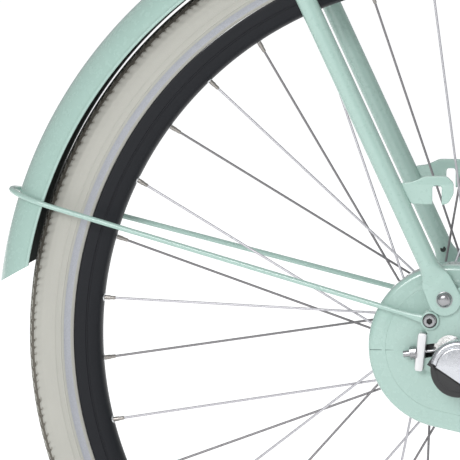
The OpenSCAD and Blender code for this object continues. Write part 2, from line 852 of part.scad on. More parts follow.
// Straight rod from the column's arm to one knuckle's arm
module tie_rod(side) {
    level = side > 0 ? arm_s + 12.2 : arm_s - 12.2;
    color("silver") at_kingpin(0) difference() {
        union() {
            for (y = [0, side * king_y]) translate([-arm_len, y, level - 5])
                cylinder(h = 10, r = eye_r);
            rod([-arm_len, side * 6, level], [-arm_len, side * (king_y - 6), level], 4.5);
        }
        for (y = [0, side * king_y]) translate([-arm_len, y, level - 6])
            cylinder(h = 12, r = arm_bolt_r + run_gap);
    }
}

// ---- Seat ----

post_top = 590;
seat_at = bb + post_top * seat_dir;
module seat_post() {
    color("silver") seat_line(300, post_top, post_r);
}
module saddle_rails() {
    color("silver") {
        difference() {
            translate(seat_at + [-20, -30, -10]) cube([40, 60, 26]);
            seat_line(post_top - 60, post_top, post_r);
        }
        both_sides() bent_rod([seat_at + [-100, 34, 34], seat_at + [-40, 24, 12],
                               seat_at + [50, 24, 12], seat_at + [120, 14, 34]], 3.5);
    }
}
module saddle() {
    base = seat_at + [0, 0, 58];
    color("saddlebrown") hull() {
        for (side = [-1, 1]) {
            translate(base + [-82, side * 72, 4]) sphere(r = 34, $fn = 32);
            translate(base + [-20, side * 52, 0]) sphere(r = 30, $fn = 32);
            translate(base + [60, side * 14, -2]) sphere(r = 26, $fn = 32);
        }
        translate(base + [140, 0, -4]) sphere(r = 24, $fn = 32);
    }
}

head_tube();
main_tube();
keel_tube();
seat_tube();
bottom_bracket_shell();
chain_stays();
seat_stays();
dropouts();
cross_beam();
beam_struts();
kingpin_sleeves();
bearing_cups();
seat_clamp();
rear_axle();
rear_axle_nuts();
chain_tensioners();
brake_arm();
chain_case_outer();
chain_case_inner();
chain();
shift_cover();
shift_base();
rack_platform();
rack_legs();
rack_bolts();
rear_mudguard();
mudguard_stay();
rear_tyre();
rear_rim();
rear_spokes();
rear_hub();
rear_sprocket();
crank_axle();
crank(1);  // crank_left
crank(-1);  // crank_right
chainring();
pedal(1);  // pedal_left
pedal(-1);  // pedal_right
steering_column();
stem();
handlebar();
grips();
shift_grip();
bell();
bell_lever();
knuckle(1);  // knuckle_left
knuckle(-1);  // knuckle_right
tie_rod(1);  // tie_rod_left
tie_rod(-1);  // tie_rod_right
front_mudguard(1);  // front_mudguard_left
front_mudguard(-1);  // front_mudguard_right
front_tyre(1);  // front_tyre_left
front_tyre(-1);  // front_tyre_right
front_rim(1);  // front_rim_left
front_rim(-1);  // front_rim_right
front_hub(1);  // front_hub_left
front_hub(-1);  // front_hub_right
seat_post();
saddle_rails();
saddle();
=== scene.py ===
"""Looks of a three-wheeled cycle for adults: one driven rear wheel, two steered front wheels."""
import math

import bmesh
import bpy
from mathutils import Matrix, Vector


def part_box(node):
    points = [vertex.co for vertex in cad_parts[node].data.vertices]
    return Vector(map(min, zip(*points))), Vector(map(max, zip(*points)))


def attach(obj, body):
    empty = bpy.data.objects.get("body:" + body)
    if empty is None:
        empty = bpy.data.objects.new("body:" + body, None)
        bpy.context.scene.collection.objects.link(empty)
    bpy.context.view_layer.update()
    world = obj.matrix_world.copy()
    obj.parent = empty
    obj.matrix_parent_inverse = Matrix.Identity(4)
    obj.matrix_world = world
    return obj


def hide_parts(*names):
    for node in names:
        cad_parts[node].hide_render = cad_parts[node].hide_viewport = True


bl_info = {
    "name": "Three-Wheeled Cycle Builder",
    "version": (1, 0, 0),
    "blender": (4, 5, 0),
    "location": "3D View > Sidebar > Tricycle",
    "description": "Builds the visible pieces and finishes of a three-wheeled cycle",
    "category": "Add Mesh",
}

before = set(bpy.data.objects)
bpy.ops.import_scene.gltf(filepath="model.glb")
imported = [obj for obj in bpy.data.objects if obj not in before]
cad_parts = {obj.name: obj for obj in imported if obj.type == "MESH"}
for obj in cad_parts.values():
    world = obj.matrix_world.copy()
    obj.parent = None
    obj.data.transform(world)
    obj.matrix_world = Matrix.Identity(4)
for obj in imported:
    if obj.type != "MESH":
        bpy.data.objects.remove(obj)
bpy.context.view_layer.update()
MM = 0.001
SIDES = (("left", 1), ("right", -1))


def box_mm(node):
    """Lowest and highest corner of a CAD node in millimetres."""
    low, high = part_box(node)
    return Vector(low) / MM, Vector(high) / MM


def centre_mm(node):
    low, high = box_mm(node)
    return (low + high) / 2


REAR = centre_mm("rear_rim")
CRANKS = centre_mm("bottom_bracket_shell")
FRONT = {side: centre_mm("front_rim_" + side) for side, _ in SIDES}
KING_TILT = math.radians(18)
SEAT_LEAN = math.radians(69)

# Places and sizes that several pieces share, in millimetres, (ahead, up) of the rear axle
RACK_BOLT = (-4, 40.2)
STAY_BOLT = (-16, 22.7)
LEG_Y = 74
LEG_FACE = 76
LEG_LEAN = math.radians(24.95)
LEG_HOLE_UP = 29.1
RAIL_UP = 411.5
STAY_EYE = 7.7
STAY_FACE = 75.2
CASE_REAR = 67.5
CASE_FRONT = 108
SLOT_TILT = math.radians(7.5)
BOLT_ROW_Y = 73.4


def from_rear(point, y):
    """A point (ahead, up) of the rear axle, at a distance y from the middle."""
    return REAR + Vector((point[0], y, point[1]))


def polar(radius, degrees):
    return (radius * math.cos(math.radians(degrees)), radius * math.sin(math.radians(degrees)))


def king_point(up, ahead, across):
    """A point in the steering frame: up the steering axis, ahead of it and across."""
    base = FRONT["left"]
    return Vector((base.x - up * math.sin(KING_TILT) + ahead * math.cos(KING_TILT), across,
                   base.z + up * math.cos(KING_TILT) + ahead * math.sin(KING_TILT)))


def mixed(a, b, share):
    return a + (b - a) * share


def smooth(value):
    value = min(max(value, 0.0), 1.0)
    return value * value * (3 - 2 * value)


# ---- Outlines in the X-Z plane, as lists of (x, z), counter-clockwise ----

def arc(radius, first, last, count, x=0.0, z=0.0):
    return [(x + radius * math.cos(math.radians(first + (last - first) * k / count)),
             z + radius * math.sin(math.radians(first + (last - first) * k / count)))
            for k in range(count + 1)]


def ring_loop(radius, x=0.0, z=0.0, count=40):
    return arc(radius, 0, 360, count, x, z)[:-1]


def capsule(c1, r1, c2, r2, count=28):
    """Outline of two discs and their outer tangents."""
    dx, dz = c2[0] - c1[0], c2[1] - c1[1]
    base = math.degrees(math.atan2(dz, dx))
    grip = math.degrees(math.acos((r1 - r2) / math.hypot(dx, dz)))
    return (arc(r2, base - grip, base + grip, count, *c2)
            + arc(r1, base + grip, base + 360 - grip, count, *c1))


def rounded(points, radius, count=5):
    """The outline with its corners rounded off, or less where an edge is short."""
    out = []
    size = len(points)
    for k in range(size):
        here = Vector(points[k])
        back = Vector(points[k - 1]) - here
        on = Vector(points[(k + 1) % size]) - here
        cut = min(radius, back.length * 0.45, on.length * 0.45)
        a = here + back.normalized() * cut
        b = here + on.normalized() * cut
        for i in range(count + 1):
            t = i / count
            out.append(tuple(a * (1 - t) ** 2 + here * 2 * t * (1 - t) + b * t * t))
    return out


def eased_path(points, bend, count=8):
    """A polyline through points in space, with its corners eased over a length."""
    out = [points[0]]
    for k in range(1, len(points) - 1):
        here = points[k]
        back, on = points[k - 1] - here, points[k + 1] - here
        cut = min(bend, back.length * 0.48, on.length * 0.48)
        a, b = here + back.normalized() * cut, here + on.normalized() * cut
        for i in range(count + 1):
            t = i / count
            out.append(a * (1 - t) ** 2 + here * (2 * t * (1 - t)) + b * (t * t))
    out.append(points[-1])
    return out


def along(start, direction):
    """A placing whose Y axis runs from start along direction."""
    turn = Vector((0, 1, 0)).rotation_difference(Vector(direction))
    return Matrix.Translation(start) @ turn.to_matrix().to_4x4()


class Shape:
    """Collects the faces of one piece, in millimetres, in the shared frame."""

    def __init__(self):
        self.verts = []
        self.faces = []
        self.marks = []

    def add(self, verts, faces, mark=0, place=None):
        base = len(self.verts)
        place = place or Matrix()
        self.verts += [place @ Vector(v) for v in verts]
        self.faces += [tuple(base + i for i in face) for face in faces]
        self.marks += mark if isinstance(mark, list) else [mark] * len(faces)

    def turned(self, profile, steps=48, place=None, marks=0, span=None, relief=None, closed=False):
        """A profile of (radius, y) turned round Y. span(radius) gives (first, last) degrees."""
        count = len(profile)
        verts, faces, tints = [], [], []
        rows = steps if span is None else steps + 1
        for i in range(rows):
            for k, (radius, y) in enumerate(profile):
                first, last = (0, 360) if span is None else span(radius)
                angle = first + (last - first) * i / steps
                grow = relief(angle, k) if relief else 0.0
                x, z = polar(radius + grow, angle)
                verts.append((x, y, z))
        pairs = count if closed else count - 1
        for i in range(steps):
            j = (i + 1) % rows
            for k in range(pairs):
                n = (k + 1) % count
                faces.append((i * count + k, i * count + n, j * count + n, j * count + k))
                tints.append(marks[k] if isinstance(marks, list) else marks)
        if span is not None and closed:
            faces += [tuple(range(count - 1, -1, -1)),
                      tuple(steps * count + k for k in range(count))]
            tints += [tints[0]] * 2
        self.add(verts, faces, tints, place)

    def swept(self, path, radii, sides=16, mark=0, across=Vector((0, 1, 0)), ends=True):
        """A rod along a path. Each radius is a number or (radius in plane, radius across)."""
        path = [Vector(p) for p in path]
        if not isinstance(radii, list):
            radii = [radii] * len(path)
        verts, faces = [], []
        normal = across.copy()
        for k, here in enumerate(path):
            way = (path[min(k + 1, len(path) - 1)] - path[max(k - 1, 0)]).normalized()
            normal = normal - way * normal.dot(way)
            if normal.length < 1e-4:
                normal = way.orthogonal()
            normal.normalize()
            other = way.cross(normal)
            a, b = radii[k] if isinstance(radii[k], tuple) else (radii[k], radii[k])
            for i in range(sides):
                turn = 2 * math.pi * i / sides
                verts.append(here + normal * (b * math.cos(turn)) + other * (a * math.sin(turn)))
        for k in range(len(path) - 1):
            for i in range(sides):
                n = (i + 1) % sides
                faces.append((k * sides + i, k * sides + n,
                              (k + 1) * sides + n, (k + 1) * sides + i))
        if ends:
            faces.append(tuple(range(sides - 1, -1, -1)))
            faces.append(tuple((len(path) - 1) * sides + i for i in range(sides)))
        self.add(verts, faces, mark)

    def lofted(self, loops, mark=0, place=None, capped=True):
        """Loops of the same number of points, joined in order."""
        size = len(loops[0])
        verts = [v for loop in loops for v in loop]
        faces = []
        for k in range(len(loops) - 1):
            for i in range(size):
                n = (i + 1) % size
                faces.append((k * size + i, k * size + n, (k + 1) * size + n, (k + 1) * size + i))
        if capped:
            faces.append(tuple(range(size - 1, -1, -1)))
            faces.append(tuple((len(loops) - 1) * size + i for i in range(size)))
        self.add(verts, faces, mark, place)

    def plate(self, loops, low, high, bevel=0.5, mark=0, place=None, fine=2):
        """A flat piece filling y from low to high: the first loop less the others."""
        curve = bpy.data.curves.new("outline", "CURVE")
        curve.dimensions = "2D"
        curve.fill_mode = "BOTH"
        curve.extrude = max((high - low) / 2 - bevel, 0.0)
        curve.bevel_depth = bevel
        curve.bevel_resolution = fine
        curve.offset = -bevel
        for number, loop in enumerate(loops):
            points = loop if number == 0 else list(reversed(loop))
            spline = curve.splines.new("POLY")
            spline.points.add(len(points) - 1)
            spline.use_cyclic_u = True
            for point, (x, z) in zip(spline.points, points):
                point.co = (x, z, 0, 1)
        holder = bpy.data.objects.new("outline", curve)
        bpy.context.scene.collection.objects.link(holder)
        graph = bpy.context.evaluated_depsgraph_get()
        mesh = bpy.data.meshes.new_from_object(holder.evaluated_get(graph))
        middle = (low + high) / 2
        self.add([(v.co.x, middle - v.co.z, v.co.y) for v in mesh.vertices],
                 [tuple(p.vertices) for p in mesh.polygons], mark, place)
        bpy.data.objects.remove(holder)
        bpy.data.curves.remove(curve)
        bpy.data.meshes.remove(mesh)

    def piece(self, name, body, slot, finishes, *nodes, origin=Vector((0, 0, 0)), crease=38):
        """Makes the object, rides it on its body and lets it stand for its CAD nodes."""
        mesh = bpy.data.meshes.new(name)
        mesh.from_pydata([(v - origin) * MM for v in self.verts], [], self.faces)
        for finish in finishes:
            mesh.materials.append(finish)
        mesh.polygons.foreach_set("material_index", self.marks)
        kit = bmesh.new()
        kit.from_mesh(mesh)
        bmesh.ops.remove_doubles(kit, verts=kit.verts, dist=2e-6)
        bmesh.ops.dissolve_degenerate(kit, edges=kit.edges, dist=1e-7)
        bmesh.ops.recalc_face_normals(kit, faces=kit.faces)
        kit.to_mesh(mesh)
        kit.free()
        mesh.shade_smooth()
        mesh.set_sharp_from_angle(angle=math.radians(crease))
        obj = bpy.data.objects.new(name, mesh)
        obj.location = origin * MM
        bpy.context.scene.collection.objects.link(obj)
        bpy.context.view_layer.update()
        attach(obj, body)
        if nodes:
            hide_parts(*nodes)
        return obj


# ---- Finishes ----

def node_group(name, inputs, outputs):
    group = bpy.data.node_groups.new(name, "ShaderNodeTree")
    for label, kind, value in inputs:
        socket = group.interface.new_socket(name=label, in_out="INPUT", socket_type=kind)
        socket.default_value = value
    for label, kind in outputs:
        group.interface.new_socket(name=label, in_out="OUTPUT", socket_type=kind)
    return group, group.nodes.new("NodeGroupInput"), group.nodes.new("NodeGroupOutput")


def placed(tree, kind, links=(), **values):
    """A node in the tree, with its plain properties set and its inputs set or linked."""
    node = tree.nodes.new(kind)
    for name, value in values.items():
        setattr(node, name, value)
    for socket, value in links:
        if isinstance(value, bpy.types.NodeSocket):
            tree.links.new(value, node.inputs[socket])
        else:
            node.inputs[socket].default_value = value
    return node


def mottle_group():
    """Slow change of lightness over a surface."""
    tree, start, end = node_group(
        "mottle", [("Color", "NodeSocketColor", (1, 1, 1, 1)), ("Scale", "NodeSocketFloat", 20.0),
                   ("Spread", "NodeSocketFloat", 0.1)], [("Color", "NodeSocketColor")])
    where = placed(tree, "ShaderNodeTexCoord")
    noise = placed(tree, "ShaderNodeTexNoise", [("Vector", where.outputs["Object"]),
                                                ("Scale", start.outputs["Scale"]), ("Detail", 5.0)])
    centred = placed(tree, "ShaderNodeMath", [(0, noise.outputs["Fac"]), (1, 0.5)],
                     operation="SUBTRACT")
    value = placed(tree, "ShaderNodeMath", [(0, centred.outputs[0]), (1, start.outputs["Spread"]),
                                            (2, 1.0)], operation="MULTIPLY_ADD")
    tint = placed(tree, "ShaderNodeHueSaturation", [("Color", start.outputs["Color"]),
                                                    ("Value", value.outputs[0])])
    tree.links.new(tint.outputs["Color"], end.inputs["Color"])
    return tree


def dust_group():
    """Pale dust that settles where a surface faces up."""
    tree, start, end = node_group(
        "settled dust", [("Color", "NodeSocketColor", (1, 1, 1, 1)),
                         ("Dust", "NodeSocketColor", (0.5, 0.48, 0.44, 1)),
                         ("Amount", "NodeSocketFloat", 0.2)], [("Color", "NodeSocketColor")])
    facing = placed(tree, "ShaderNodeNewGeometry")
    split = placed(tree, "ShaderNodeSeparateXYZ", [(0, facing.outputs["Normal"])])
    where = placed(tree, "ShaderNodeTexCoord")
    noise = placed(tree, "ShaderNodeTexNoise", [("Vector", where.outputs["Object"]),
                                                ("Scale", 60.0), ("Detail", 6.0)])
    up = placed(tree, "ShaderNodeMapRange", [("Value", split.outputs["Z"]), ("From Min", 0.1),
                                             ("From Max", 1.0)])
    patch = placed(tree, "ShaderNodeMapRange", [("Value", noise.outputs["Fac"]),
                                                ("From Min", 0.42), ("From Max", 0.72)])
    both = placed(tree, "ShaderNodeMath", [(0, up.outputs[0]), (1, patch.outputs[0])],
                  operation="MULTIPLY")
    amount = placed(tree, "ShaderNodeMath", [(0, both.outputs[0]), (1, start.outputs["Amount"])],
                    operation="MULTIPLY")
    mix = placed(tree, "ShaderNodeMix", [(0, amount.outputs[0]), (6, start.outputs["Color"]),
                                         (7, start.outputs["Dust"])], data_type="RGBA")
    tree.links.new(mix.outputs[2], end.inputs["Color"])
    return tree


def grain_group():
    """Fine unevenness: a height and a matching mask."""
    tree, start, end = node_group(
        "fine grain", [("Scale", "NodeSocketFloat", 600.0), ("Stretch", "NodeSocketFloat", 1.0)],
        [("Height", "NodeSocketFloat"), ("Mask", "NodeSocketFloat")])
    where = placed(tree, "ShaderNodeTexCoord")
    pull = placed(tree, "ShaderNodeCombineXYZ", [(0, start.outputs["Stretch"]), (1, 1.0), (2, 1.0)])
    drawn = placed(tree, "ShaderNodeVectorMath", [(0, where.outputs["Object"]),
                                                  (1, pull.outputs[0])], operation="MULTIPLY")
    noise = placed(tree, "ShaderNodeTexNoise", [("Vector", drawn.outputs[0]),
                                                ("Scale", start.outputs["Scale"]),
                                                ("Detail", 4.0), ("Roughness", 0.6)])
    mask = placed(tree, "ShaderNodeMapRange", [("Value", noise.outputs["Fac"]),
                                               ("From Min", 0.35), ("From Max", 0.65)])
    tree.links.new(noise.outputs["Fac"], end.inputs["Height"])
    tree.links.new(mask.outputs[0], end.inputs["Mask"])
    return tree


def wear_group():
    """A mask along exposed edges, broken up as by handling."""
    tree, start, end = node_group("edge wear", [("Amount", "NodeSocketFloat", 0.5)],
                                  [("Mask", "NodeSocketFloat")])
    facing = placed(tree, "ShaderNodeNewGeometry")
    edge = placed(tree, "ShaderNodeMapRange", [("Value", facing.outputs["Pointiness"]),
                                               ("From Min", 0.53), ("From Max", 0.62)])
    where = placed(tree, "ShaderNodeTexCoord")
    noise = placed(tree, "ShaderNodeTexNoise", [("Vector", where.outputs["Object"]),
                                                ("Scale", 180.0), ("Detail", 5.0)])
    broken = placed(tree, "ShaderNodeMapRange", [("Value", noise.outputs["Fac"]),
                                                 ("From Min", 0.4), ("From Max", 0.6)])
    both = placed(tree, "ShaderNodeMath", [(0, edge.outputs[0]), (1, broken.outputs[0])],
                  operation="MULTIPLY")
    out = placed(tree, "ShaderNodeMath", [(0, both.outputs[0]), (1, start.outputs["Amount"])],
                 operation="MULTIPLY")
    tree.links.new(out.outputs[0], end.inputs["Mask"])
    return tree


def pores_group():
    """Leather: cells with rounded creases between them."""
    tree, start, end = node_group("leather pores", [("Scale", "NodeSocketFloat", 450.0)],
                                  [("Height", "NodeSocketFloat")])
    where = placed(tree, "ShaderNodeTexCoord")
    cells = placed(tree, "ShaderNodeTexVoronoi", [("Vector", where.outputs["Object"]),
                                                  ("Scale", start.outputs["Scale"])],
                   feature="DISTANCE_TO_EDGE")
    crease = placed(tree, "ShaderNodeMapRange", [("Value", cells.outputs["Distance"]),
                                                 ("From Max", 0.18)],
                    interpolation_type="SMOOTHSTEP")
    tree.links.new(crease.outputs[0], end.inputs["Height"])
    return tree


GROUPS = {}
FINISHES = {}


def finish(name, colour, rough, metal=0.0, coat=0.0, spread=0.06, scale=18.0, grain=700.0,
           depth=0.02, stretch=1.0, dust=0.08, wear=0.0, bare=(0.6, 0.6, 0.6), uneven=0.08,
           pores=0.0, sheen=0.0, shine=0.5):
    """One finish, made from the shared effects with its own values."""
    finish_ = bpy.data.materials.new(name)
    finish_.use_nodes = True
    tree = finish_.node_tree
    shader = tree.nodes["Principled BSDF"]
    shader.inputs["Metallic"].default_value = metal
    shader.inputs["Coat Weight"].default_value = coat
    shader.inputs["Coat Roughness"].default_value = 0.06
    shader.inputs["Sheen Weight"].default_value = sheen
    shader.inputs["Specular IOR Level"].default_value = shine
    tone = placed(tree, "ShaderNodeGroup", node_tree=GROUPS["mottle"])
    tone.inputs["Color"].default_value = (*colour, 1)
    tone.inputs["Scale"].default_value = scale
    tone.inputs["Spread"].default_value = spread
    last = tone.outputs["Color"]
    if wear:
        worn = placed(tree, "ShaderNodeGroup", node_tree=GROUPS["wear"])
        worn.inputs["Amount"].default_value = wear
        last = placed(tree, "ShaderNodeMix", [(0, worn.outputs["Mask"]), (6, last),
                                              (7, (*bare, 1))], data_type="RGBA").outputs[2]
    dusty = placed(tree, "ShaderNodeGroup", node_tree=GROUPS["dust"])
    dusty.inputs["Amount"].default_value = dust
    tree.links.new(last, dusty.inputs["Color"])
    tree.links.new(dusty.outputs["Color"], shader.inputs["Base Color"])
    fine = placed(tree, "ShaderNodeGroup", node_tree=GROUPS["grain"])
    fine.inputs["Scale"].default_value = grain
    fine.inputs["Stretch"].default_value = stretch
    gloss = placed(tree, "ShaderNodeMath", [(0, fine.outputs["Mask"]), (1, uneven),
                                            (2, rough - uneven / 2)], operation="MULTIPLY_ADD")
    tree.links.new(gloss.outputs[0], shader.inputs["Roughness"])
    height = fine.outputs["Height"]
    if pores:
        skin = placed(tree, "ShaderNodeGroup", node_tree=GROUPS["pores"])
        skin.inputs["Scale"].default_value = pores
        height = placed(tree, "ShaderNodeMath", [(0, skin.outputs["Height"]), (1, height)],
                        operation="ADD").outputs[0]
    bump = placed(tree, "ShaderNodeBump", [("Height", height), ("Strength", depth * 10),
                                           ("Distance", 0.0002)])
    tree.links.new(bump.outputs["Normal"], shader.inputs["Normal"])
    FINISHES[name] = finish_
    return finish_


def make_finishes(colours):
    GROUPS.update(mottle=mottle_group(), dust=dust_group(), grain=grain_group(),
                  wear=wear_group(), pores=pores_group())
    paint = tuple(colours.paint)
    finish("mint gloss", paint, 0.3, coat=0.7, spread=0.04, grain=260, depth=0.012, dust=0.12)
    finish("mint sheet", paint, 0.26, coat=0.8, spread=0.05, scale=9, grain=180, depth=0.014,
           dust=0.12)
    # Near-black painted shade for hollows: inside the guards, inside the chain case and in the rack
    # legs' vent hole.
    finish("painted shade inside", (0.014, 0.021, 0.018), 0.5, spread=0.3, dust=0.2, grain=900, depth=0.05)
    finish("cream rubber", tuple(colours.tyre), 0.72, spread=0.09, scale=26, grain=1400,
           depth=0.07, dust=0.1)
    finish("tread rubber", tuple(c * 0.88 for c in colours.tyre), 0.85, spread=0.4, scale=260,
           grain=1100, depth=0.12, dust=0.1)
    # Painted shade for the tread grooves: a dark one and a lighter one.
    finish("groove painted shade", (0.12, 0.11, 0.09), 0.8, spread=0.3, grain=1200, depth=0.08)
    finish("groove lighter painted shade", (0.3, 0.29, 0.255), 0.8, spread=0.4, scale=200, grain=1200, depth=0.08)
    finish("reflex strip", (0.4, 0.41, 0.45), 0.4, spread=0.45, scale=900, grain=2600,
           depth=0.1, coat=0.3)
    finish("black rim", (0.01, 0.011, 0.014), 0.42, shine=0.2, spread=0.15, grain=500,
           depth=0.02, dust=0.05)
    finish("machined edge", (0.62, 0.63, 0.64), 0.25, metal=1.0, grain=300, stretch=0.1)
    finish("bright steel", (0.64, 0.64, 0.63), 0.24, metal=1.0, spread=0.14, grain=420,
           depth=0.015, stretch=0.25, uneven=0.14, dust=0.04)
    # Lit and shaded copies of the same spoke steel: painted light and painted shade.
    finish("spoke painted lit", (0.5, 0.49, 0.52), 0.4, metal=0.6, spread=0.0, depth=0.0, uneven=0.0)
    finish("spoke painted shade", (0.24, 0.23, 0.24), 0.4, metal=0.6, spread=0.0, depth=0.0, uneven=0.0)
    finish("nipple brass", (0.34, 0.32, 0.3), 0.3, metal=1.0, spread=0.15, grain=600)
    finish("polished alloy", (0.8, 0.8, 0.81), 0.13, metal=1.0, spread=0.06, grain=350,
           depth=0.01, uneven=0.08, dust=0.04)
    finish("bolt steel", (0.34, 0.34, 0.35), 0.26, metal=1.0, spread=0.2, grain=420, depth=0.02)
    finish("satin silver", (0.72, 0.72, 0.73), 0.4, metal=0.7, spread=0.1, grain=700, depth=0.03)
    finish("cover alloy", (0.56, 0.57, 0.6), 0.24, metal=1.0, spread=0.08, grain=500, depth=0.02)
    finish("seam shade", (0.11, 0.17, 0.155), 0.6)
    finish("dark steel", (0.13, 0.13, 0.13), 0.38, metal=1.0, spread=0.25, grain=500, depth=0.03,
           wear=0.7)
    finish("black plastic", (0.02, 0.02, 0.021), 0.42, spread=0.2, grain=1500, depth=0.06,
           dust=0.2)
    # Real rubber on the pedals and the shift grip; also used as painted shade at the stay bolt.
    finish("black rubber and painted shade", (0.028, 0.028, 0.028), 0.7, spread=0.25, grain=1200, depth=0.1,
           dust=0.3)
    finish("brown leather", tuple(colours.leather), 0.46, coat=0.12, spread=0.4, scale=14,
           grain=300, depth=0.1, dust=0.05, wear=0.6, bare=(0.36, 0.19, 0.09), uneven=0.2,
           pores=520)
    finish("stitch thread", (0.6, 0.48, 0.32), 0.8, spread=0.15, grain=2500, depth=0.1, sheen=0.3)
    finish("copper rivet", (0.75, 0.42, 0.27), 0.25, metal=1.0, spread=0.15, grain=500)


# ---- Settings a user would change ----

class CYCLE_PG_sizes(bpy.types.PropertyGroup):
    tread_depth: bpy.props.FloatProperty(
        name="Tread depth", description="Depth of the tyre's grooves, in millimetres",
        default=0.9, min=0.0, max=2.0)
    tread_blocks: bpy.props.IntProperty(
        name="Tread blocks", description="Blocks round the rear tyre's shoulder",
        default=300, min=60, max=400)
    grip_swell: bpy.props.FloatProperty(
        name="Grip swell", description="How much the grips swell under the palm, in millimetres",
        default=1.6, min=0.0, max=2.5)
    saddle_fill: bpy.props.FloatProperty(
        name="Saddle firmness", description="From 0, slack, to 1, tight", default=0.9,
        min=0.0, max=1.0, subtype="FACTOR")


class CYCLE_PG_colours(bpy.types.PropertyGroup):
    paint: bpy.props.FloatVectorProperty(
        name="Paint", description="Colour of the frame, guards and rack", subtype="COLOR",
        size=3, min=0.0, max=1.0, default=(0.362, 0.517, 0.464))
    tyre: bpy.props.FloatVectorProperty(
        name="Tyres", description="Colour of the tyres' rubber", subtype="COLOR",
        size=3, min=0.0, max=1.0, default=(0.435, 0.43, 0.39))
    leather: bpy.props.FloatVectorProperty(
        name="Leather", description="Colour of the saddle and the grips", subtype="COLOR",
        size=3, min=0.0, max=1.0, default=(0.16, 0.066, 0.028))


class CYCLE_OT_stage(bpy.types.Operator):
    """Makes the floor, the soft lights, the camera and the finishes"""
    bl_idname = "cycle.stage"
    bl_label = "Stage and finishes"

    def execute(self, context):
        scene = context.scene
        make_finishes(scene.cycle_colours)
        scene.view_settings.view_transform = "Standard"
        mesh = bpy.data.meshes.new("floor")
        reach = 40.0
        mesh.from_pydata([(-reach, -reach, 0), (reach, -reach, 0), (reach, reach, 0),
                          (-reach, reach, 0)], [], [(0, 1, 2, 3)])
        floor = bpy.data.objects.new("floor", mesh)
        scene.collection.objects.link(floor)
        pale = bpy.data.materials.new("pale floor")
        pale.use_nodes = True
        shader = pale.node_tree.nodes["Principled BSDF"]
        shader.inputs["Base Color"].default_value = (0.8, 0.8, 0.8, 1)
        shader.inputs["Roughness"].default_value = 0.9
        shader.inputs["Emission Color"].default_value = (1, 1, 1, 1)
        shader.inputs["Emission Strength"].default_value = 0.62
        mesh.materials.append(pale)
        world = bpy.data.worlds.new("soft room")
        scene.world = world
        world.use_nodes = True
        tree = world.node_tree
        where = placed(tree, "ShaderNodeTexCoord")
        split = placed(tree, "ShaderNodeSeparateXYZ", [(0, where.outputs["Generated"])])
        ramp = placed(tree, "ShaderNodeMapRange", [("Value", split.outputs["Z"]),
                                                   ("From Min", -0.1), ("From Max", 0.9),
                                                   ("To Min", 0.34), ("To Max", 0.62)])
        tree.links.new(ramp.outputs[0], tree.nodes["Background"].inputs["Strength"])
        tree.nodes["Background"].inputs["Color"].default_value = (0.97, 0.985, 1, 1)
        for name, at, size, power in (("key", (-1.6, -4.4, 2.3), 1.8, 96),
                                      ("fill", (3.6, -3.0, 1.8), 2.6, 14),
                                      ("back", (0.5, 3.6, 3.0), 3.0, 26)):
            lamp = bpy.data.lights.new(name, "AREA")
            lamp.size = size
            lamp.energy = power
            holder = bpy.data.objects.new(name, lamp)
            holder.location = at
            holder.visible_camera = False
            holder.rotation_euler = (Vector((0, 0, 0.5)) - Vector(at)).to_track_quat(
                "-Z", "Y").to_euler()
            scene.collection.objects.link(holder)
        lens = bpy.data.cameras.new("camera")
        away, side, up = 6.2, math.radians(6.1), math.radians(5.93)
        lens.lens = 36 * away / 0.3805
        lens.sensor_width = 36
        camera = bpy.data.objects.new("camera", lens)
        target = (REAR + Vector((-187.9, 0, 87.6))) * MM
        back = Vector((math.sin(side) * math.cos(up), -math.cos(side) * math.cos(up),
                       math.sin(up)))
        camera.location = target + back * away
        camera.rotation_euler = (-back).to_track_quat("-Z", "Y").to_euler()
        scene.collection.objects.link(camera)
        scene.camera = camera
        return {"FINISHED"}


# ---- Wheels ----

WHEELS = (
    ("rear", "rear_wheel", REAR, 355.0, 21.0, 316.4, 22.2, 1800, 1.0),
    ("front_left", "front_wheel_left", FRONT["left"], 250.0, 23.5, 211.0, 18.0, 1200, 0.72),
    ("front_right", "front_wheel_right", FRONT["right"], 250.0, 23.5, 211.0, 18.0, 1200, 0.72),
)


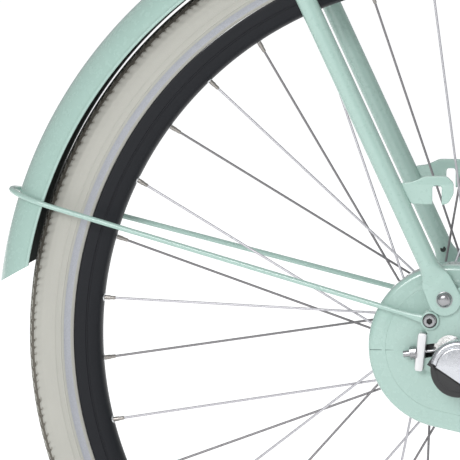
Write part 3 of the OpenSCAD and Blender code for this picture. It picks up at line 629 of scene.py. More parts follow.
class CYCLE_OT_tyres(bpy.types.Operator):
    """Makes the three tyres, with tread, mould lines and reflecting strips"""
    bl_idname = "cycle.tyres"
    bl_label = "Tyres"

    def execute(self, context):
        sizes = context.scene.cycle_sizes
        for name, body, axle, radius, half, rim, _, steps, share in WHEELS:
            core = radius - half
            blocks = round(sizes.tread_blocks * share)
            low = math.degrees(math.acos((rim + 0.4 - core) / half))

            def slope(height):
                return math.degrees(math.acos((rim + height - core) / half))

            stops = [low] + [slope(h) for h in (2.5, 2.7, 7.9, 8.1, 9.8, 10.3, 10.8, 12.6, 14.6,
                                                15.1, 15.6, 18)]
            stops += [80, 74, 68, 66, 60, 54, 48, 42, 37, 32, 30, 26, 21, 16, 11, 9, 4]
            rise = {2: -0.1, 3: -0.1, 6: 0.35, 10: 0.3, 16: 0.2}
            turns = [-a for a in stops] + list(reversed(stops))
            count = len(stops)
            profile, lifts = [], []
            for k, angle in enumerate(turns):
                index = k if k < count else 2 * count - 1 - k
                lifts.append(index)
                reach = half + rise.get(index, 0.0)
                r, y = core + reach * math.cos(math.radians(angle)), reach * math.sin(
                    math.radians(angle))
                profile.append((r, y))
            tints = []
            for k in range(len(turns) - 1):
                index = lifts[k] if k < count - 1 else lifts[k + 1]
                tints.append(1 if index == 2 else 0 if index < 19 else 3)
            profile += [(rim + 0.4, 10.0), (rim + 0.4, -10.0)]
            tints += [0, 0, 0]

            def relief(angle, k, turns=turns, blocks=blocks):
                if k >= len(turns):
                    return 0.0
                lean = abs(turns[k])
                if lean > 82:
                    return 0.0
                phase = angle / 360 * blocks
                side = 1 if turns[k] > 0 else 0.5
                if lean > 58:
                    depth = 0.3 if (phase + 0.05 * lean + side) % 1.0 < 0.35 else 0.0
                elif lean > 40:
                    wobble = 0.22 * math.sin(phase * 1.7) + 0.03 * lean
                    depth = 0.9 if (phase + wobble + side) % 1.0 < 0.3 else 0.0
                elif lean > 31:
                    depth = 0.9
                elif lean > 10:
                    gap = (phase * 0.75 + lean * 0.045 * (1 if turns[k] > 0 else -1)) % 1.0
                    depth = 0.8 if gap < 0.24 else 0.0
                else:
                    depth = 0.0 if lean < 7 else 0.7
                return -sizes.tread_depth * depth

            shape = Shape()
            shape.turned(profile, steps, Matrix.Translation(axle), tints, relief=relief,
                         closed=True)
            # The deepest groove faces are painted dark as shade: darker on the tread, lighter where
            # the shoulder turns down.
            for i in range(steps):
                for k in range(len(turns) - 1):
                    lean = abs(turns[k])
                    if lean < 50 and relief(360 * i / steps, k) < -0.6 * sizes.tread_depth:
                        shape.marks[i * len(profile) + k] = 2 if lean < 44 else 4
            shape.piece(name + "_tyre_cream", body, "cream_tyre",
                        [FINISHES[n] for n in ("cream rubber", "reflex strip", "groove painted shade",
                                               "tread rubber", "groove lighter painted shade")],
                        "rear_tyre" if name == "rear" else name.replace("front", "front_tyre"),
                        origin=axle, crease=28)
        return {"FINISHED"}


class CYCLE_OT_rims(bpy.types.Operator):
    """Makes the three rims, with a groove, an outer lip and spoke eyelets"""
    bl_idname = "cycle.rims"
    bl_label = "Rims"

    def execute(self, context):
        for name, body, axle, _, _, rim, deep, _, _ in WHEELS:
            inner = rim - deep
            side = [(rim, 12.2), (rim - 0.2, 12.8), (rim - 1.1, 13.0), (rim - 1.5, 13.0),
                    (rim - 9.4, 12.7), (rim - 9.7, 12.1), (rim - 10.9, 12.1), (rim - 11.2, 12.6),
                    (rim - 16.5, 12.2), (rim - 19.0 * deep / 22.2, 11.0), (inner + 1.2, 8.6),
                    (inner, 5.4), (inner - 0.35, 2.0)]
            profile = side + [(r, -y) for r, y in reversed(side)]
            profile += [(rim - 6, -11.4), (rim - 6, 11.4)]
            tints = [0] * len(profile)
            shape = Shape()
            shape.turned(profile, 360, Matrix.Translation(axle), tints, closed=True)
            count = 36 if name == "rear" else 28
            first = 174 if name == "rear" else 90
            mirror = -1 if name == "front_right" else 1
            for k in range(count):
                x, z = polar(inner - 0.2, first - 360 / count * k)
                hole = axle + Vector((x, mirror * (-3 if k % 2 == 0 else 3), z))
                shape.turned([(0.5, 0.6), (2.4, 0.6), (3.3, 0.3), (3.5, -0.6)], 14,
                             along(hole, Vector((-x, 0, -z))), 2)
            shape.piece(name + "_rim_black", body, "black_rim",
                        [FINISHES["black rim"], FINISHES["machined edge"],
                         FINISHES["machined edge"]],
                        "rear_rim" if name == "rear" else name.replace("front", "front_rim"),
                        origin=axle)
        return {"FINISHED"}


def lace(shape, axle, count, first, flange_r, flange_y, rim_in, mirror=1):
    """Spokes with bent heads and their nipples: marks 0 near flange, painted lit, 1 far flange,
    painted in shade, 2 nipples.
    """
    step = 360 / count
    for k in range(count):
        side = -1 if k % 2 == 0 else 1
        lead = 1 if k % 4 in (1, 2) else -1
        out = 2.5 if k % 4 < 2 else -2.5
        hx, hz = polar(flange_r, first - step * k + 4 * lead * step)
        rx, rz = polar(rim_in + 1, first - step * k)
        a = axle + Vector((hx, mirror * side * (flange_y + out), hz))
        b = axle + Vector((rx, mirror * side * 3, rz))
        way = (b - a).normalized()
        head = Vector((a.x, a.y - mirror * side * out * 1.9, a.z))
        # One steel in two tones: spokes from the flange on the camera's side are painted lit, those
        # from the far flange painted in shade.
        mark = 0 if side * mirror < 0 else 1
        path = [b, a + way * 3, a + way * 1.2 + (head - a) * 0.1, a + (head - a) * 0.3, head]
        shape.swept(path, [1.0, 1.0, 1.0, 1.0, 1.0], 10, mark)
        shape.turned([(0.0, -0.4), (1.3, -0.2), (1.9, 0.4), (1.9, 1.0), (0.0, 1.2)], 10,
                     along(head, head - a), mark)
        shape.turned([(0.0, 0.0), (1.9, 0.0), (1.9, 6.0), (1.6, 7.0), (1.55, 10.2), (1.2, 11.0),
                      (0.9, 11.1)], 10, along(b, -way), 2)


class CYCLE_OT_spokes_and_hubs(bpy.types.Operator):
    """Makes the spokes, nipples and hub shells of the three wheels"""
    bl_idname = "cycle.spokes_and_hubs"
    bl_label = "Spokes and hubs"

    def execute(self, context):
        spokes = Shape()
        lace(spokes, REAR, 36, 174, 31, 31.5, 294.2)
        spokes.piece("rear_spokes_laced", "rear_wheel", "bright_steel",
                     [FINISHES["spoke painted lit"], FINISHES["spoke painted shade"], FINISHES["nipple brass"]],
                     "rear_spokes", origin=REAR)
        hub = Shape()
        half = [(5.2, 35.6), (15.6, 36), (17, 35), (17.2, 33.8), (35.2, 33.0), (36, 32.2),
                (36, 30.8), (35.2, 30.0), (30, 29.6), (27.4, 27.0), (26.6, 22), (26.2, 20.5),
                (25.6, 19.5), (25.4, 12), (25.4, 0)]
        profile = half + [(r, -y) for r, y in reversed(half[:-1])]
        hub.turned(profile, 96, Matrix.Translation(REAR))
        for k in range(36):
            x, z = polar(31, 174 - 10 * k)
            for y in (31.5, -31.5):
                hub.turned([(1.4, 1.62), (1.9, 1.7), (2.3, 1.52)], 10,
                           Matrix.Translation(REAR + Vector((x, y, z))), 1)
        hub.piece("rear_hub_shell", "rear_wheel", "polished_alloy",
                  [FINISHES["polished alloy"], FINISHES["dark steel"]], "rear_hub", origin=REAR)
        for side, sign in SIDES:
            axle = FRONT[side]
            hub = Shape()
            lace(hub, axle, 28, 90, 24, 25, 193, sign)
            half = [(8.3, 31), (12.6, 31), (14.6, 30), (15, 27.4), (27.2, 26.6), (28, 26),
                    (28, 24.4), (27.2, 23.6), (18, 22.6), (14.6, 18), (12.6, 8), (12.2, 0)]
            profile = half + [(r, -y) for r, y in reversed(half[:-1])]
            hub.turned(profile, 72, Matrix.Translation(axle), 3)
            hub.turned([(r, y) for r, y in ((8.2, 29.4), (11, 31.2), (12.4, 31.3), (12.4, 30))],
                       48, Matrix.Translation(axle), 4)
            hub.piece("front_hub_and_spokes_" + side, "front_wheel_" + side, "polished_alloy",
                      [FINISHES[n] for n in ("spoke painted lit", "spoke painted shade", "nipple brass",
                                             "polished alloy", "dark steel")],
                      "front_hub_" + side, origin=axle)
        return {"FINISHED"}


# ---- Guards ----

def guard_profile(crown, width):
    """Closed section of a rolled-edge guard, as points and marks: 0 paint, 1 painted shade on the
    inside.
    """
    edge = width / 2
    ring = edge + 0.8
    core = crown - ring
    low = core + 5.8
    lean = math.degrees(math.acos(5.8 / ring)) - 3
    outer = [(core + ring * math.cos(math.radians(a)), ring * math.sin(math.radians(a)))
             for a in [-lean + 2 * lean * k / 30 for k in range(31)]]
    bead = [(low + 1.7 * math.sin(math.radians(a)), edge - 0.4 + 1.7 * math.cos(math.radians(a)))
            for a in (60, 30, 0, -30, -60, -90, -120, -150, -180)]
    inner = [(core + (ring - 1.2) * math.cos(math.radians(a)),
              (ring - 1.2) * math.sin(math.radians(a)))
             for a in [lean - 4 - 2 * (lean - 4) * k / 24 for k in range(25)]]
    points = outer + bead + inner + [(r, -y) for r, y in reversed(bead)]
    # Mark 1, the inner face and the inner half of each bead, is painted near-black shade where the
    # guard's hollow lies in shadow.
    marks = [0] * (len(outer) + 4) + [1] * (len(bead) + len(inner)) + [0] * 5
    return points, marks, core


def guard_wire(shape, axle, core, width, angle, eye, eye_r, low, high, mirror=1, stand=0):
    """A hoop of wire over a guard, down to an eye on each side."""
    bow = width / 2 + 0.8 + 2.25
    cx, cz = polar(core, angle)
    out = Vector((cx, 0, cz)).normalized()
    c = Vector((cx, 0, cz))
    reach = (c - Vector((eye[0], 0, eye[1]))).normalized() * (eye_r - 1)
    feet = [Vector((eye[0], y, eye[1])) + reach for y in (low, high)]
    hoop = [c + Vector((0, -bow * math.cos(math.pi * k / 24), 0)) + out * (
        (bow + stand) * math.sin(math.pi * k / 24)) for k in range(25)]
    path = []
    for foot, end in ((feet[0], hoop[0]), (feet[1], hoop[-1])):
        leg = [mixed(foot, end, t) for t in (0, 0.012, 0.03, 0.05, 0.3, 0.6, 0.9, 0.97)]
        path.append(leg)
    whole = path[0] + hoop + list(reversed(path[1]))
    widths = [(3.4, 1.2), (3.2, 1.4), (2.7, 1.9), (2.25, 2.25)] + [(2.25, 2.25)] * (
        len(whole) - 8) + [(2.25, 2.25), (2.7, 1.9), (3.2, 1.4), (3.4, 1.2)]
    place = [axle + Vector((p.x, p.y * mirror, p.z)) for p in whole]
    shape.swept(place, widths, 14, 0)


def eye_plate(shape, axle, eye, radius, bore, low, high):
    shape.plate([ring_loop(radius, axle.x + eye[0], axle.z + eye[1]),
                 ring_loop(bore, axle.x + eye[0], axle.z + eye[1])],
                axle.y + low, axle.y + high, 0.9, 0, fine=3)


class CYCLE_OT_guards(bpy.types.Operator):
    """Makes the mudguards with rolled edges, painted shade inside, wire stays and their eyes"""
    bl_idname = "cycle.guards"
    bl_label = "Mudguards"

    def execute(self, context):
        points, marks, core = guard_profile(381.5, 55)
        guard = Shape()
        guard.turned(points, 260, Matrix.Translation(REAR), marks, closed=True,
                     span=lambda r: (2, 173.5 - 2.8 * (381.5 - r) / 22.5))
        seat = Vector((-math.cos(SEAT_LEAN), 0, math.sin(SEAT_LEAN))) * 265
        a, b = CRANKS + seat + Vector((-14, 0, -5)), CRANKS + seat + Vector((-38.5, 0, -14))
        guard.swept([a, mixed(a, b, 0.5), b], 6, 24)
        guard.swept([mixed(a, b, 0.78), mixed(a, b, 0.96)], 9, 24)
        guard.piece("rear_mudguard_sheet", "frame", "mint_sheet",
                    [FINISHES["mint sheet"], FINISHES["painted shade inside"]], "rear_mudguard",
                    origin=REAR)
        stay = Shape()
        guard_wire(stay, REAR, core, 55, 162, STAY_BOLT, STAY_EYE, -74.4, 74.4, stand=5)
        for side in (-1, 1):
            low, high = sorted((side * 72.0, side * STAY_FACE))
            eye_plate(stay, REAR, STAY_BOLT, STAY_EYE, 2.6, low, high)
        stay.piece("rear_mudguard_wire", "frame", "mint_paint", [FINISHES["mint gloss"]],
                   "mudguard_stay", origin=REAR)
        for side, sign in SIDES:
            axle = FRONT[side]
            points, marks, core = guard_profile(268, 61)
            guard = Shape()
            guard.turned(points, 180, Matrix.Translation(axle), marks, closed=True,
                         span=lambda r: (20 + (268 - r) / 9, 200 - (268 - r) / 9))
            for angle in (65, 165):
                guard_wire(guard, axle, core, 61, angle, (0, 0), 12, -43.2, 35.6, sign)
            for low in (-45, 33.8):
                a, b = sorted((low * sign, (low + 3) * sign))
                eye_plate(guard, axle, (0, 0), 14, 8, a, b)
            guard.piece("front_mudguard_sheet_" + side, "knuckle_" + side, "mint_sheet",
                        [FINISHES["mint sheet"], FINISHES["painted shade inside"]],
                        "front_mudguard_" + side, origin=axle)
        return {"FINISHED"}


# ---- Rack ----

HOOK = [(-40.1, 135.5), (-30.1, 136.8), (-20, 141.5), (-2.6, 141.5), (3.2, 136), (3.2, 126.8),
        (-1, 119.3), (-6, 117.7), (-6.6, 118.0), (-6.6, 132.0), (-7.6, 133.6), (-10.4, 133.8),
        (-13.2, 133.6), (-14.2, 132.0), (-14.2, 118.3),
        (-15.1, 118.3), (-31.7, 118.5)]


class CYCLE_OT_rack_legs(bpy.types.Operator):
    """Makes the rack's legs, each flattened to a drilled foot, and their strap hooks"""
    bl_idname = "cycle.rack_legs"
    bl_label = "Rack legs"

    def execute(self, context):
        way = Vector((-math.sin(LEG_LEAN), 0, math.cos(LEG_LEAN)))
        legs = Shape()
        for side in (-1, 1):
            bolt = from_rear(RACK_BOLT, side * LEG_Y)
            rise = RAIL_UP - 3 - RACK_BOLT[1]
            path, widths = [], []
            for s in (6, 10, 13, 16, 18, 20, 22, 24, 26, 28, 30, 32, 36, 44, 80, 200,
                      rise / math.cos(LEG_LEAN)):
                share = smooth((s - 13) / 19)
                path.append(bolt + way * s)
                widths.append((12.6 + (8 - 12.6) * share, 2 + (8 - 2) * share ** 1.2))
            legs.swept(path, widths, 32, 0)
            place = Matrix.Translation(REAR)
            upper = (RACK_BOLT[0] + way.x * 14, RACK_BOLT[1] + way.z * 14)
            lobe = capsule(RACK_BOLT, 13.4, upper, 12.4, 24)
            inner = along(bolt + way * LEG_HOLE_UP - Vector((0, side * 7.7, 0)), (0, -side, 0))
            legs.turned([(3.2, -0.6), (3.0, 0.1), (2.5, 0.15), (2.4, -0.1)], 24, inner, 0)
            # A near-black disc in the vent hole: painted shade inside the tube.
            legs.turned([(2.45, 0.05), (0, 0.05)], 24, inner, 1)
            low, high = sorted((side * 72.0, side * LEG_FACE))
            legs.plate([lobe, ring_loop(3.1, *RACK_BOLT)], low, high, 0.7, 0, place, 3)
            legs.plate([rounded(list(reversed(HOOK)), 2.2)], low, high, 0.8, 0, place, 3)
        legs.piece("rack_legs_tubular", "frame", "mint_paint",
                   [FINISHES["mint gloss"], FINISHES["painted shade inside"]], "rack_legs", origin=REAR)
        return {"FINISHED"}


class CYCLE_OT_fixings(bpy.types.Operator):
    """Makes the bolts of the rack and the stay, and the chain tensioners with their nuts"""
    bl_idname = "cycle.fixings"
    bl_label = "Bolts and tensioners"

    def execute(self, context):
        bolts = Shape()
        for side in (-1, 1):
            out = Vector((0, side, 0))
            at = along(from_rear(RACK_BOLT, side * LEG_FACE), out)
            bolts.turned([(0, -10), (2.9, -10), (2.9, 0.05), (6.6, 0.05), (6.65, 0.5), (6.0, 0.75),
                          (5.9, 0.8), (5.9, 1.9), (5.2, 3.2), (3.9, 4.1), (2.3, 4.5), (0, 4.55)],
                         40, at)
            at = along(from_rear(STAY_BOLT, side * STAY_FACE), out)
            bolts.turned([(0, -9.2), (2.4, -9.2), (2.4, 0.05), (5.2, 0.05), (5.3, 0.4),
                          (4.9, 0.7), (4.8, 0.75), (4.8, 3.4), (4.4, 3.9), (3.1, 3.95)], 32, at)
            # A thin dark ring on the plate round the stay bolt, mark 1: a painted shadow.
            bolts.turned([(5.1, 0.1), (6.0, 0.08), (6.1, -0.1)], 32, at, 1)
            # The hex socket is coloured near-black, mark 1: painted shade in the recess.
            loop = [polar(2.7, 60 * k) for k in range(6)]
            bolts.lofted([[(x, 3.95, z) for x, z in loop], [(x, 1.6, z) for x, z in loop]], 1,
                         at, capped=False)
            bolts.add([(x, 1.6, z) for x, z in loop], [tuple(range(6))], 1, at)
            rim = [polar(3.1, 10 * k) for k in range(36)]
            inner = [polar(2.7 / max(math.cos(math.radians((10 * k) % 60 - 30)), 0.5)
                           * math.cos(math.radians(30)), 10 * k) for k in range(36)]
            bolts.lofted([[(x, 3.95, z) for x, z in rim], [(x, 3.94, z) for x, z in inner]], 0,
                         at, capped=False)
        bolts.piece("rack_bolts_domed", "frame", "bright_steel",
                    [FINISHES["bolt steel"], FINISHES["black rubber and painted shade"]], "rack_bolts")
        gear = Shape()
        tilt = Matrix.Rotation(-SLOT_TILT, 4, "Y")
        place = Matrix.Translation(REAR) @ tilt
        for side in (-1, 1):
            low, high = sorted((side * 66.0, side * 76.0))
            lean = Matrix.Translation(place @ Vector((-23.7, 0, 0))) @ Matrix.Rotation(
                math.radians(6), 4, "Y")
            gear.plate([rounded([(-3.6, -15.8), (3.6, -15.8), (3.6, 15.8), (-3.6, 15.8)], 2.6)],
                       low, high, 0.9, 1, lean, 3)
            a = place @ Vector((-38, side * BOLT_ROW_Y, 0))
            b = place @ Vector((-11.6, side * BOLT_ROW_Y, 0))
            gear.swept([a, mixed(a, b, 0.04), b], [0.9, 1.35, 1.35], 16, 0)
            for k in range(13):
                s = mixed(a, b, 0.08 + 0.055 * k)
                gear.turned([(1.32, -0.35), (1.62, 0), (1.32, 0.35)], 14, along(s, b - a), 0)
            gear.turned([(1.2, 0), (2.7, 0), (2.8, 0.6), (2.8, 6.2), (2.2, 7)], 20,
                        along(a, b - a), 0)
            nut = place @ Vector((-27.2, side * BOLT_ROW_Y, 0))
            hexa = [polar(5.6, 60 * k + 30) for k in range(6)]
            gear.lofted([[(x, h, z) for x, z in rounded(hexa, 0.5, 2)] for h in (0, 5.2)], 0,
                        along(nut, a - b))
        gear.piece("tensioners_satin", "frame", "bright_steel",
                   [FINISHES["bolt steel"], FINISHES["satin silver"]], "chain_tensioners",
                   crease=30)
        return {"FINISHED"}


# ---- Chain case and gear housing ----

class CYCLE_OT_chain_case(bpy.types.Operator):
    """Makes the chain case's outer half, dished, with a raised panel and an opening"""
    bl_idname = "cycle.chain_case"
    bl_label = "Chain case"

    def execute(self, context):
        ahead = (CRANKS.x - REAR.x, CRANKS.z - REAR.z)
        place = Matrix.Translation(REAR)

        def outline(inset, y, count=40):
            return [(x, y, z) for x, z in capsule(
                (0, 0), CASE_REAR - inset, ahead, CASE_FRONT - inset, count)]

        case = Shape()
        steps = [(0, -53.9), (0, -60.2), (0.25, -61.6), (0.9, -62.9), (1.9, -63.9), (3.2, -64.5),
                 (4.8, -64.7), (9.5, -64.72), (11.2, -64.85), (12.6, -65.1), (13.6, -65.27),
                 (14.3, -65.3)]
        # The inner wall of the dish, mark 1, is painted near-black shade.
        inside = [(14.3, -64.4), (5.0, -63.5), (2.2, -62.4), (1.2, -60.4), (1.2, -53.9)]
        case.lofted([outline(*s) for s in steps], 0, place, capped=False)
        case.lofted([outline(*s) for s in inside], 1, place, capped=False)
        case.lofted([outline(1.2, -53.9), outline(0, -53.9)], 0, place, capped=False)
        tilt = math.atan2(ahead[1], ahead[0])
        far = (150 * math.cos(tilt), 150 * math.sin(tilt))
        case.plate([[(x, z) for x, _, z in outline(14.25, 0)],
                    capsule((0, 0), 21.5, far, 20.5, 24), ring_loop(17, *ahead)],
                   -65.32, -64.4, 0.4, 0, place, 3)
        seam = [Vector((x, y, z)) + REAR for x, y, z in (
            (-67.0, -61, -2.8), (-65.4, -63.9, -2.8), (-62.6, -64.55, -2.8), (-54, -64.6, -2.8),
            (-53, -65.15, -2.8), (-46, -65.2, -2.8))]
        case.swept(seam, [0.4, 0.4, 0.4, 0.35, 0.35, 0.15], 8, 2)
        case.piece("chain_case_dish", "frame", "mint_sheet",
                   [FINISHES["mint sheet"], FINISHES["painted shade inside"],
                    FINISHES["seam shade"]], "chain_case_outer", origin=REAR, crease=50)
        return {"FINISHED"}


def half_disc(radius, above, count=40):
    """Outline of the gear housing's disc, cut by its slanting seam."""
    centre = (9, -15)
    px, pz = -11.6, -11.4
    slant = math.radians(-34)
    nx, nz = -math.sin(slant), math.cos(slant)
    out = []
    for k in range(count * 3):
        x, z = arc(radius, 0, 360, count * 3, *centre)[k]
        height = (x - px) * nx + (z - pz) * nz
        if (height >= 0) == above:
            out.append((x, z, k))
    for k in range(1, len(out)):
        if out[k][2] - out[k - 1][2] > 1:
            out = out[k:] + out[:k]
            break
    loop = [(x, z) for x, z, _ in out]
    gap = 0.15 if above else -0.15

    def on_seam(x, z):
        height = (x - px) * nx + (z - pz) * nz - gap
        return (x - nx * height, z - nz * height)

    return loop + [on_seam(*loop[-1]), on_seam(*loop[0])]


class CYCLE_OT_gear_housing(bpy.types.Operator):
    """Makes the gear housing on the right axle end: a bright cover over a black base"""
    bl_idname = "cycle.gear_housing"
    bl_label = "Gear housing"

    def execute(self, context):
        place = Matrix.Translation(REAR)
        cover = Shape()
        cover.plate([half_disc(24, True)], -97, -76.2, 3.2, 0, place, 5)
        cover.plate([half_disc(18.6, True)], -99, -96.4, 1.2, 0, place, 4)
        cover.piece("gear_housing_cover", "frame", "polished_alloy",
                    [FINISHES["cover alloy"]], "shift_cover", origin=REAR)
        base = Shape()
        base.plate([half_disc(23, False)], -95, -78, 2.2, 0, place, 4)
        base.plate([half_disc(17.6, False)], -98, -94.6, 1.0, 0, place, 3)
        base.piece("gear_housing_base", "frame", "black_plastic", [FINISHES["black plastic"]],
                   "shift_base", origin=REAR)
        return {"FINISHED"}


# ---- Cranks and pedals ----

class CYCLE_OT_cranks(bpy.types.Operator):
    """Makes the crank arms with their bosses and bolts"""
    bl_idname = "cycle.cranks"
    bl_label = "Cranks"

    def execute(self, context):
        for side, sign in SIDES:
            eye = (-sign * 170.0, 0.0)
            arm = Shape()
            place = Matrix.Translation(CRANKS)
            low, high = sorted((sign * 71.0, sign * 83.0))
            arm.plate([capsule((0, 0), 12.4, eye, 9.4, 24), ring_loop(8.5)], low, high, 3.2, 0,
                      place, 5)
            low, high = sorted((sign * 70.0, sign * 84.0))
            arm.plate([ring_loop(15), ring_loop(8.5)], low, high, 1.6, 0, place, 4)
            arm.plate([ring_loop(11, *eye)], low, high, 1.6, 0, place, 4)
            tip = along(CRANKS + Vector((0, sign * 84, 0)), (0, sign, 0))
            arm.turned([(8.6, -1.4), (8.3, -0.3), (7.2, 0.3), (5.4, 0.5), (5.2, -0.4),
                        (0, -0.5)], 32, tip, 1)
            a = CRANKS + Vector((eye[0], sign * 83, eye[1]))
            arm.swept([a, a + Vector((0, sign * 101, 0))], 5.9, 24, 1)
            arm.piece("crank_arm_forged_" + side, "cranks", "polished_alloy",
                      [FINISHES["polished alloy"], FINISHES["bright steel"]], "crank_" + side,
                      origin=CRANKS)
        return {"FINISHED"}


class CYCLE_OT_pedals(bpy.types.Operator):
    """Makes the pedals: a barrel, two end plates and ribbed rubber blocks"""
    bl_idname = "cycle.pedals"
    bl_label = "Pedals"

    def execute(self, context):
        for side, sign in SIDES:
            centre = CRANKS + Vector((-sign * 170, 0, 0))
            place = Matrix.Translation(centre)
            low = 90.0
            pedal = Shape()
            end = rounded([(-41.8, -12.8), (41.8, -12.8), (41.8, 12.8), (-41.8, 12.8)], 6)
            for y in (low, low + 84):
                a, b = sorted((sign * y, sign * (y + 6)))
                pedal.plate([end, ring_loop(6.1), ring_loop(5, -22, 0), ring_loop(5, 22, 0)],
                            a, b, 1.4, 0, place, 3)
            axis = along(centre + Vector((0, sign * (low + 5), 0)), (0, sign, 0))
            pedal.turned([(6.1, 0), (10.2, 0), (9.6, 3), (8.6, 12), (8.6, 66), (9.6, 76),
                          (10.2, 80), (6.1, 80)], 32, axis, 0)
            cap = along(centre + Vector((0, sign * (low + 89.6), 0)), (0, sign, 0))
            pedal.turned([(9.4, 0), (9.2, 0.3), (8, 0.4), (7.4, 0.2), (0, 0.2)], 28, cap, 2)
            for x in (-30, 30):
                core = rounded([(x - 8, -9), (x + 8, -9), (x + 8, 9), (x - 8, 9)], 3)
                a, b = sorted((sign * (low + 6), sign * (low + 84)))
                pedal.plate([core], a, b, 0.5, 1, place)
                for k in range(8):
                    block = rounded([(x - 11.6, -12.8), (x + 11.6, -12.8), (x + 11.6, 12.8),
                                     (x - 11.6, 12.8)], 2.6)
                    start = low + 6.6 + 9.65 * k
                    a, b = sorted((sign * start, sign * (start + 8.0)))
                    pedal.plate([block], a, b, 1.0, 1, place, 2)
            pedal.piece("pedal_rubber_" + side, "pedal_" + side, "black_plastic",
                        [FINISHES["black plastic"], FINISHES["black rubber and painted shade"],
                         FINISHES["bright steel"]], "pedal_" + side, origin=centre)
        return {"FINISHED"}


# ---- Handlebar and what is on it ----

BAR_MID = king_point(772, 50, 0)
BAR_POINTS = [BAR_MID, BAR_MID + Vector((0, 50, 0)), BAR_MID + Vector((-29, 170, 20)),
              BAR_MID + Vector((-69, 240, 22)), BAR_MID + Vector((-204, 300, 8))]


def mirrored(point):
    return Vector((point.x, -point.y, point.z))


class CYCLE_OT_handlebar(bpy.types.Operator):
    """Makes the swept handlebar, the stitched grips and the twist shifter"""
    bl_idname = "cycle.handlebar"
    bl_label = "Handlebar and grips"

    def execute(self, context):
        swell = context.scene.cycle_sizes.grip_swell
        bar = Shape()
        path = [mirrored(p) for p in reversed(BAR_POINTS[1:])] + BAR_POINTS[1:]
        bar.swept(eased_path(path, 26), 11.1, 32)
        bar.piece("handlebar_swept", "steering", "polished_alloy", [FINISHES["polished alloy"]],
                  "handlebar")
        grips = Shape()
        length = (BAR_POINTS[4] - BAR_POINTS[3]).length
        for flip in (False, True):
            a, b = BAR_POINTS[3], BAR_POINTS[4]
            if flip:
                a, b = mirrored(a), mirrored(b)
            body = [(11.2, 18.2), (18.6, 18.2), (19.8, 19.4), (19.8, 23.8), (18.6, 24.9),
                    (15.2, 25.3)]
            body += [(14.2 + swell * math.sin(math.pi * k / 12), 26 + (length - 29) * k / 12)
                     for k in range(13)]
            body += [(15.9, length - 2.6), (15.9, length + 1.2), (14.6, length + 2.6),
                     (10, length + 3), (0, length + 3)]
            marks = [1] * 5 + [0] * 13 + [1] * 6
            grips.turned(body, 48, along(a, b - a), marks)
            step = (b - a).normalized()
            place = along(a, b - a)
            for k in range(26):
                s = 29 + (length - 35) * k / 26
                r = 14.35 + swell * math.sin(math.pi * (s - 26) / (length - 29))
                up = [place @ Vector((x, s + d, -r)) for x, d in ((-1.5, 0), (-0.6, 1.0),
                                                                  (0.6, 2.4), (1.5, 3.4))]
                grips.swept(up, [0.3, 0.5, 0.5, 0.3], 6, 2, step)
        grips.piece("grips_stitched", "steering", "black_plastic",
                    [FINISHES["brown leather"], FINISHES["bright steel"],
                     FINISHES["stitch thread"]], "grips")
        a, b = mirrored(BAR_POINTS[2]), mirrored(BAR_POINTS[3])
        twist = Shape()
        profile = [(11.2, 22.2), (19.6, 22.2), (20.8, 23.2), (20.8, 27.6), (19.8, 28.8),
                   (16.2, 29.6), (15.6, 33), (15.6, 36), (16, 60), (15.6, 66), (14.4, 69.4),
                   (11.2, 69.8)]
        marks = [1] * 4 + [0] * 7

        def ribs(angle, k):
            return 0.9 * max(0.0, math.cos(math.radians(angle * 20))) if 6 < k < 10 else 0.0

        twist.turned(profile, 240, along(a, b - a), marks, relief=ribs)
        twist.piece("shift_grip_ribbed", "shifter", "black_plastic",
                    [FINISHES["black rubber and painted shade"], FINISHES["black plastic"]], "shift_grip")
        return {"FINISHED"}


class CYCLE_OT_bell(bpy.types.Operator):
    """Makes the bell's dome, foot and thumb lever"""
    bl_idname = "cycle.bell"
    bl_label = "Bell"

    def execute(self, context):
        at = mixed(BAR_POINTS[1], BAR_POINTS[2], 0.45)
        bell = Shape()
        upright = along(at, (0, 0, 1))
        dome = [(24.6, 31), (26.2, 30.1), (27, 30.8), (27, 33)]
        dome += [(36 * math.sin(math.radians(a)), 12 + 36 * math.cos(math.radians(a)))
                 for a in (46, 42, 36, 30, 24, 18, 12, 7)]
        dome += [(3.6, 47.9), (3.4, 48.6), (0, 48.7)]
        bell.turned(dome, 64, upright)
        bell.turned([(24.6, 31), (25.4, 34), (0, 42)], 48, upright)
        bell.turned([(0, 8), (9, 8), (9, 27), (12, 30), (0, 30)], 32, upright, 1)
        step = (BAR_POINTS[2] - BAR_POINTS[1]).normalized()
        bell.turned([(11.2, -9), (13.4, -9), (14, -8), (14, 8), (13.4, 9), (11.2, 9)], 40,
                    along(at, step), 1)
        post = along(at + Vector((-20, 0, 20)), (0, 0, 1))
        bell.turned([(0, 0), (2.5, 0), (2.5, 9.6), (2, 10), (0, 10)], 20, post, 1)
        foot = at + Vector((0, 0, 21))
        bell.swept([foot, at + Vector((-20, 0, 21))], [(4, 1.4), (3, 1.2)], 14, 1)
        bell.piece("bell_dome", "steering", "polished_alloy",
                   [FINISHES["polished alloy"], FINISHES["black plastic"]], "bell")
        lever = Shape()
        base = at + Vector((-20, 0, 22))
        lever.turned([(2.55, 0), (5.6, 0), (6, 0.6), (6, 4.4), (5.4, 5), (2.55, 5)], 28,
                     along(base, (0, 0, 1)))
        lever.swept([base + Vector((-4, 0, 2)), base + Vector((-18, 0, 2)),
                     base + Vector((-30, 0, 2.4))], [(4.6, 1.5), (4.6, 1.5), (4.8, 1.8)], 16, 0,
                    Vector((0, 0, 1)))
        lever.turned([(0, 0), (6.4, 0.2), (7.8, 1.4), (8, 3), (7.4, 4.6), (5, 5.4), (0, 5)], 32,
                     along(base + Vector((-34, 0, 0.3)), (0, 0, 1)))
        lever.piece("bell_lever_bright", "bell_lever", "polished_alloy",
                    [FINISHES["bright steel"]], "bell_lever")
        return {"FINISHED"}


# ---- Saddle ----

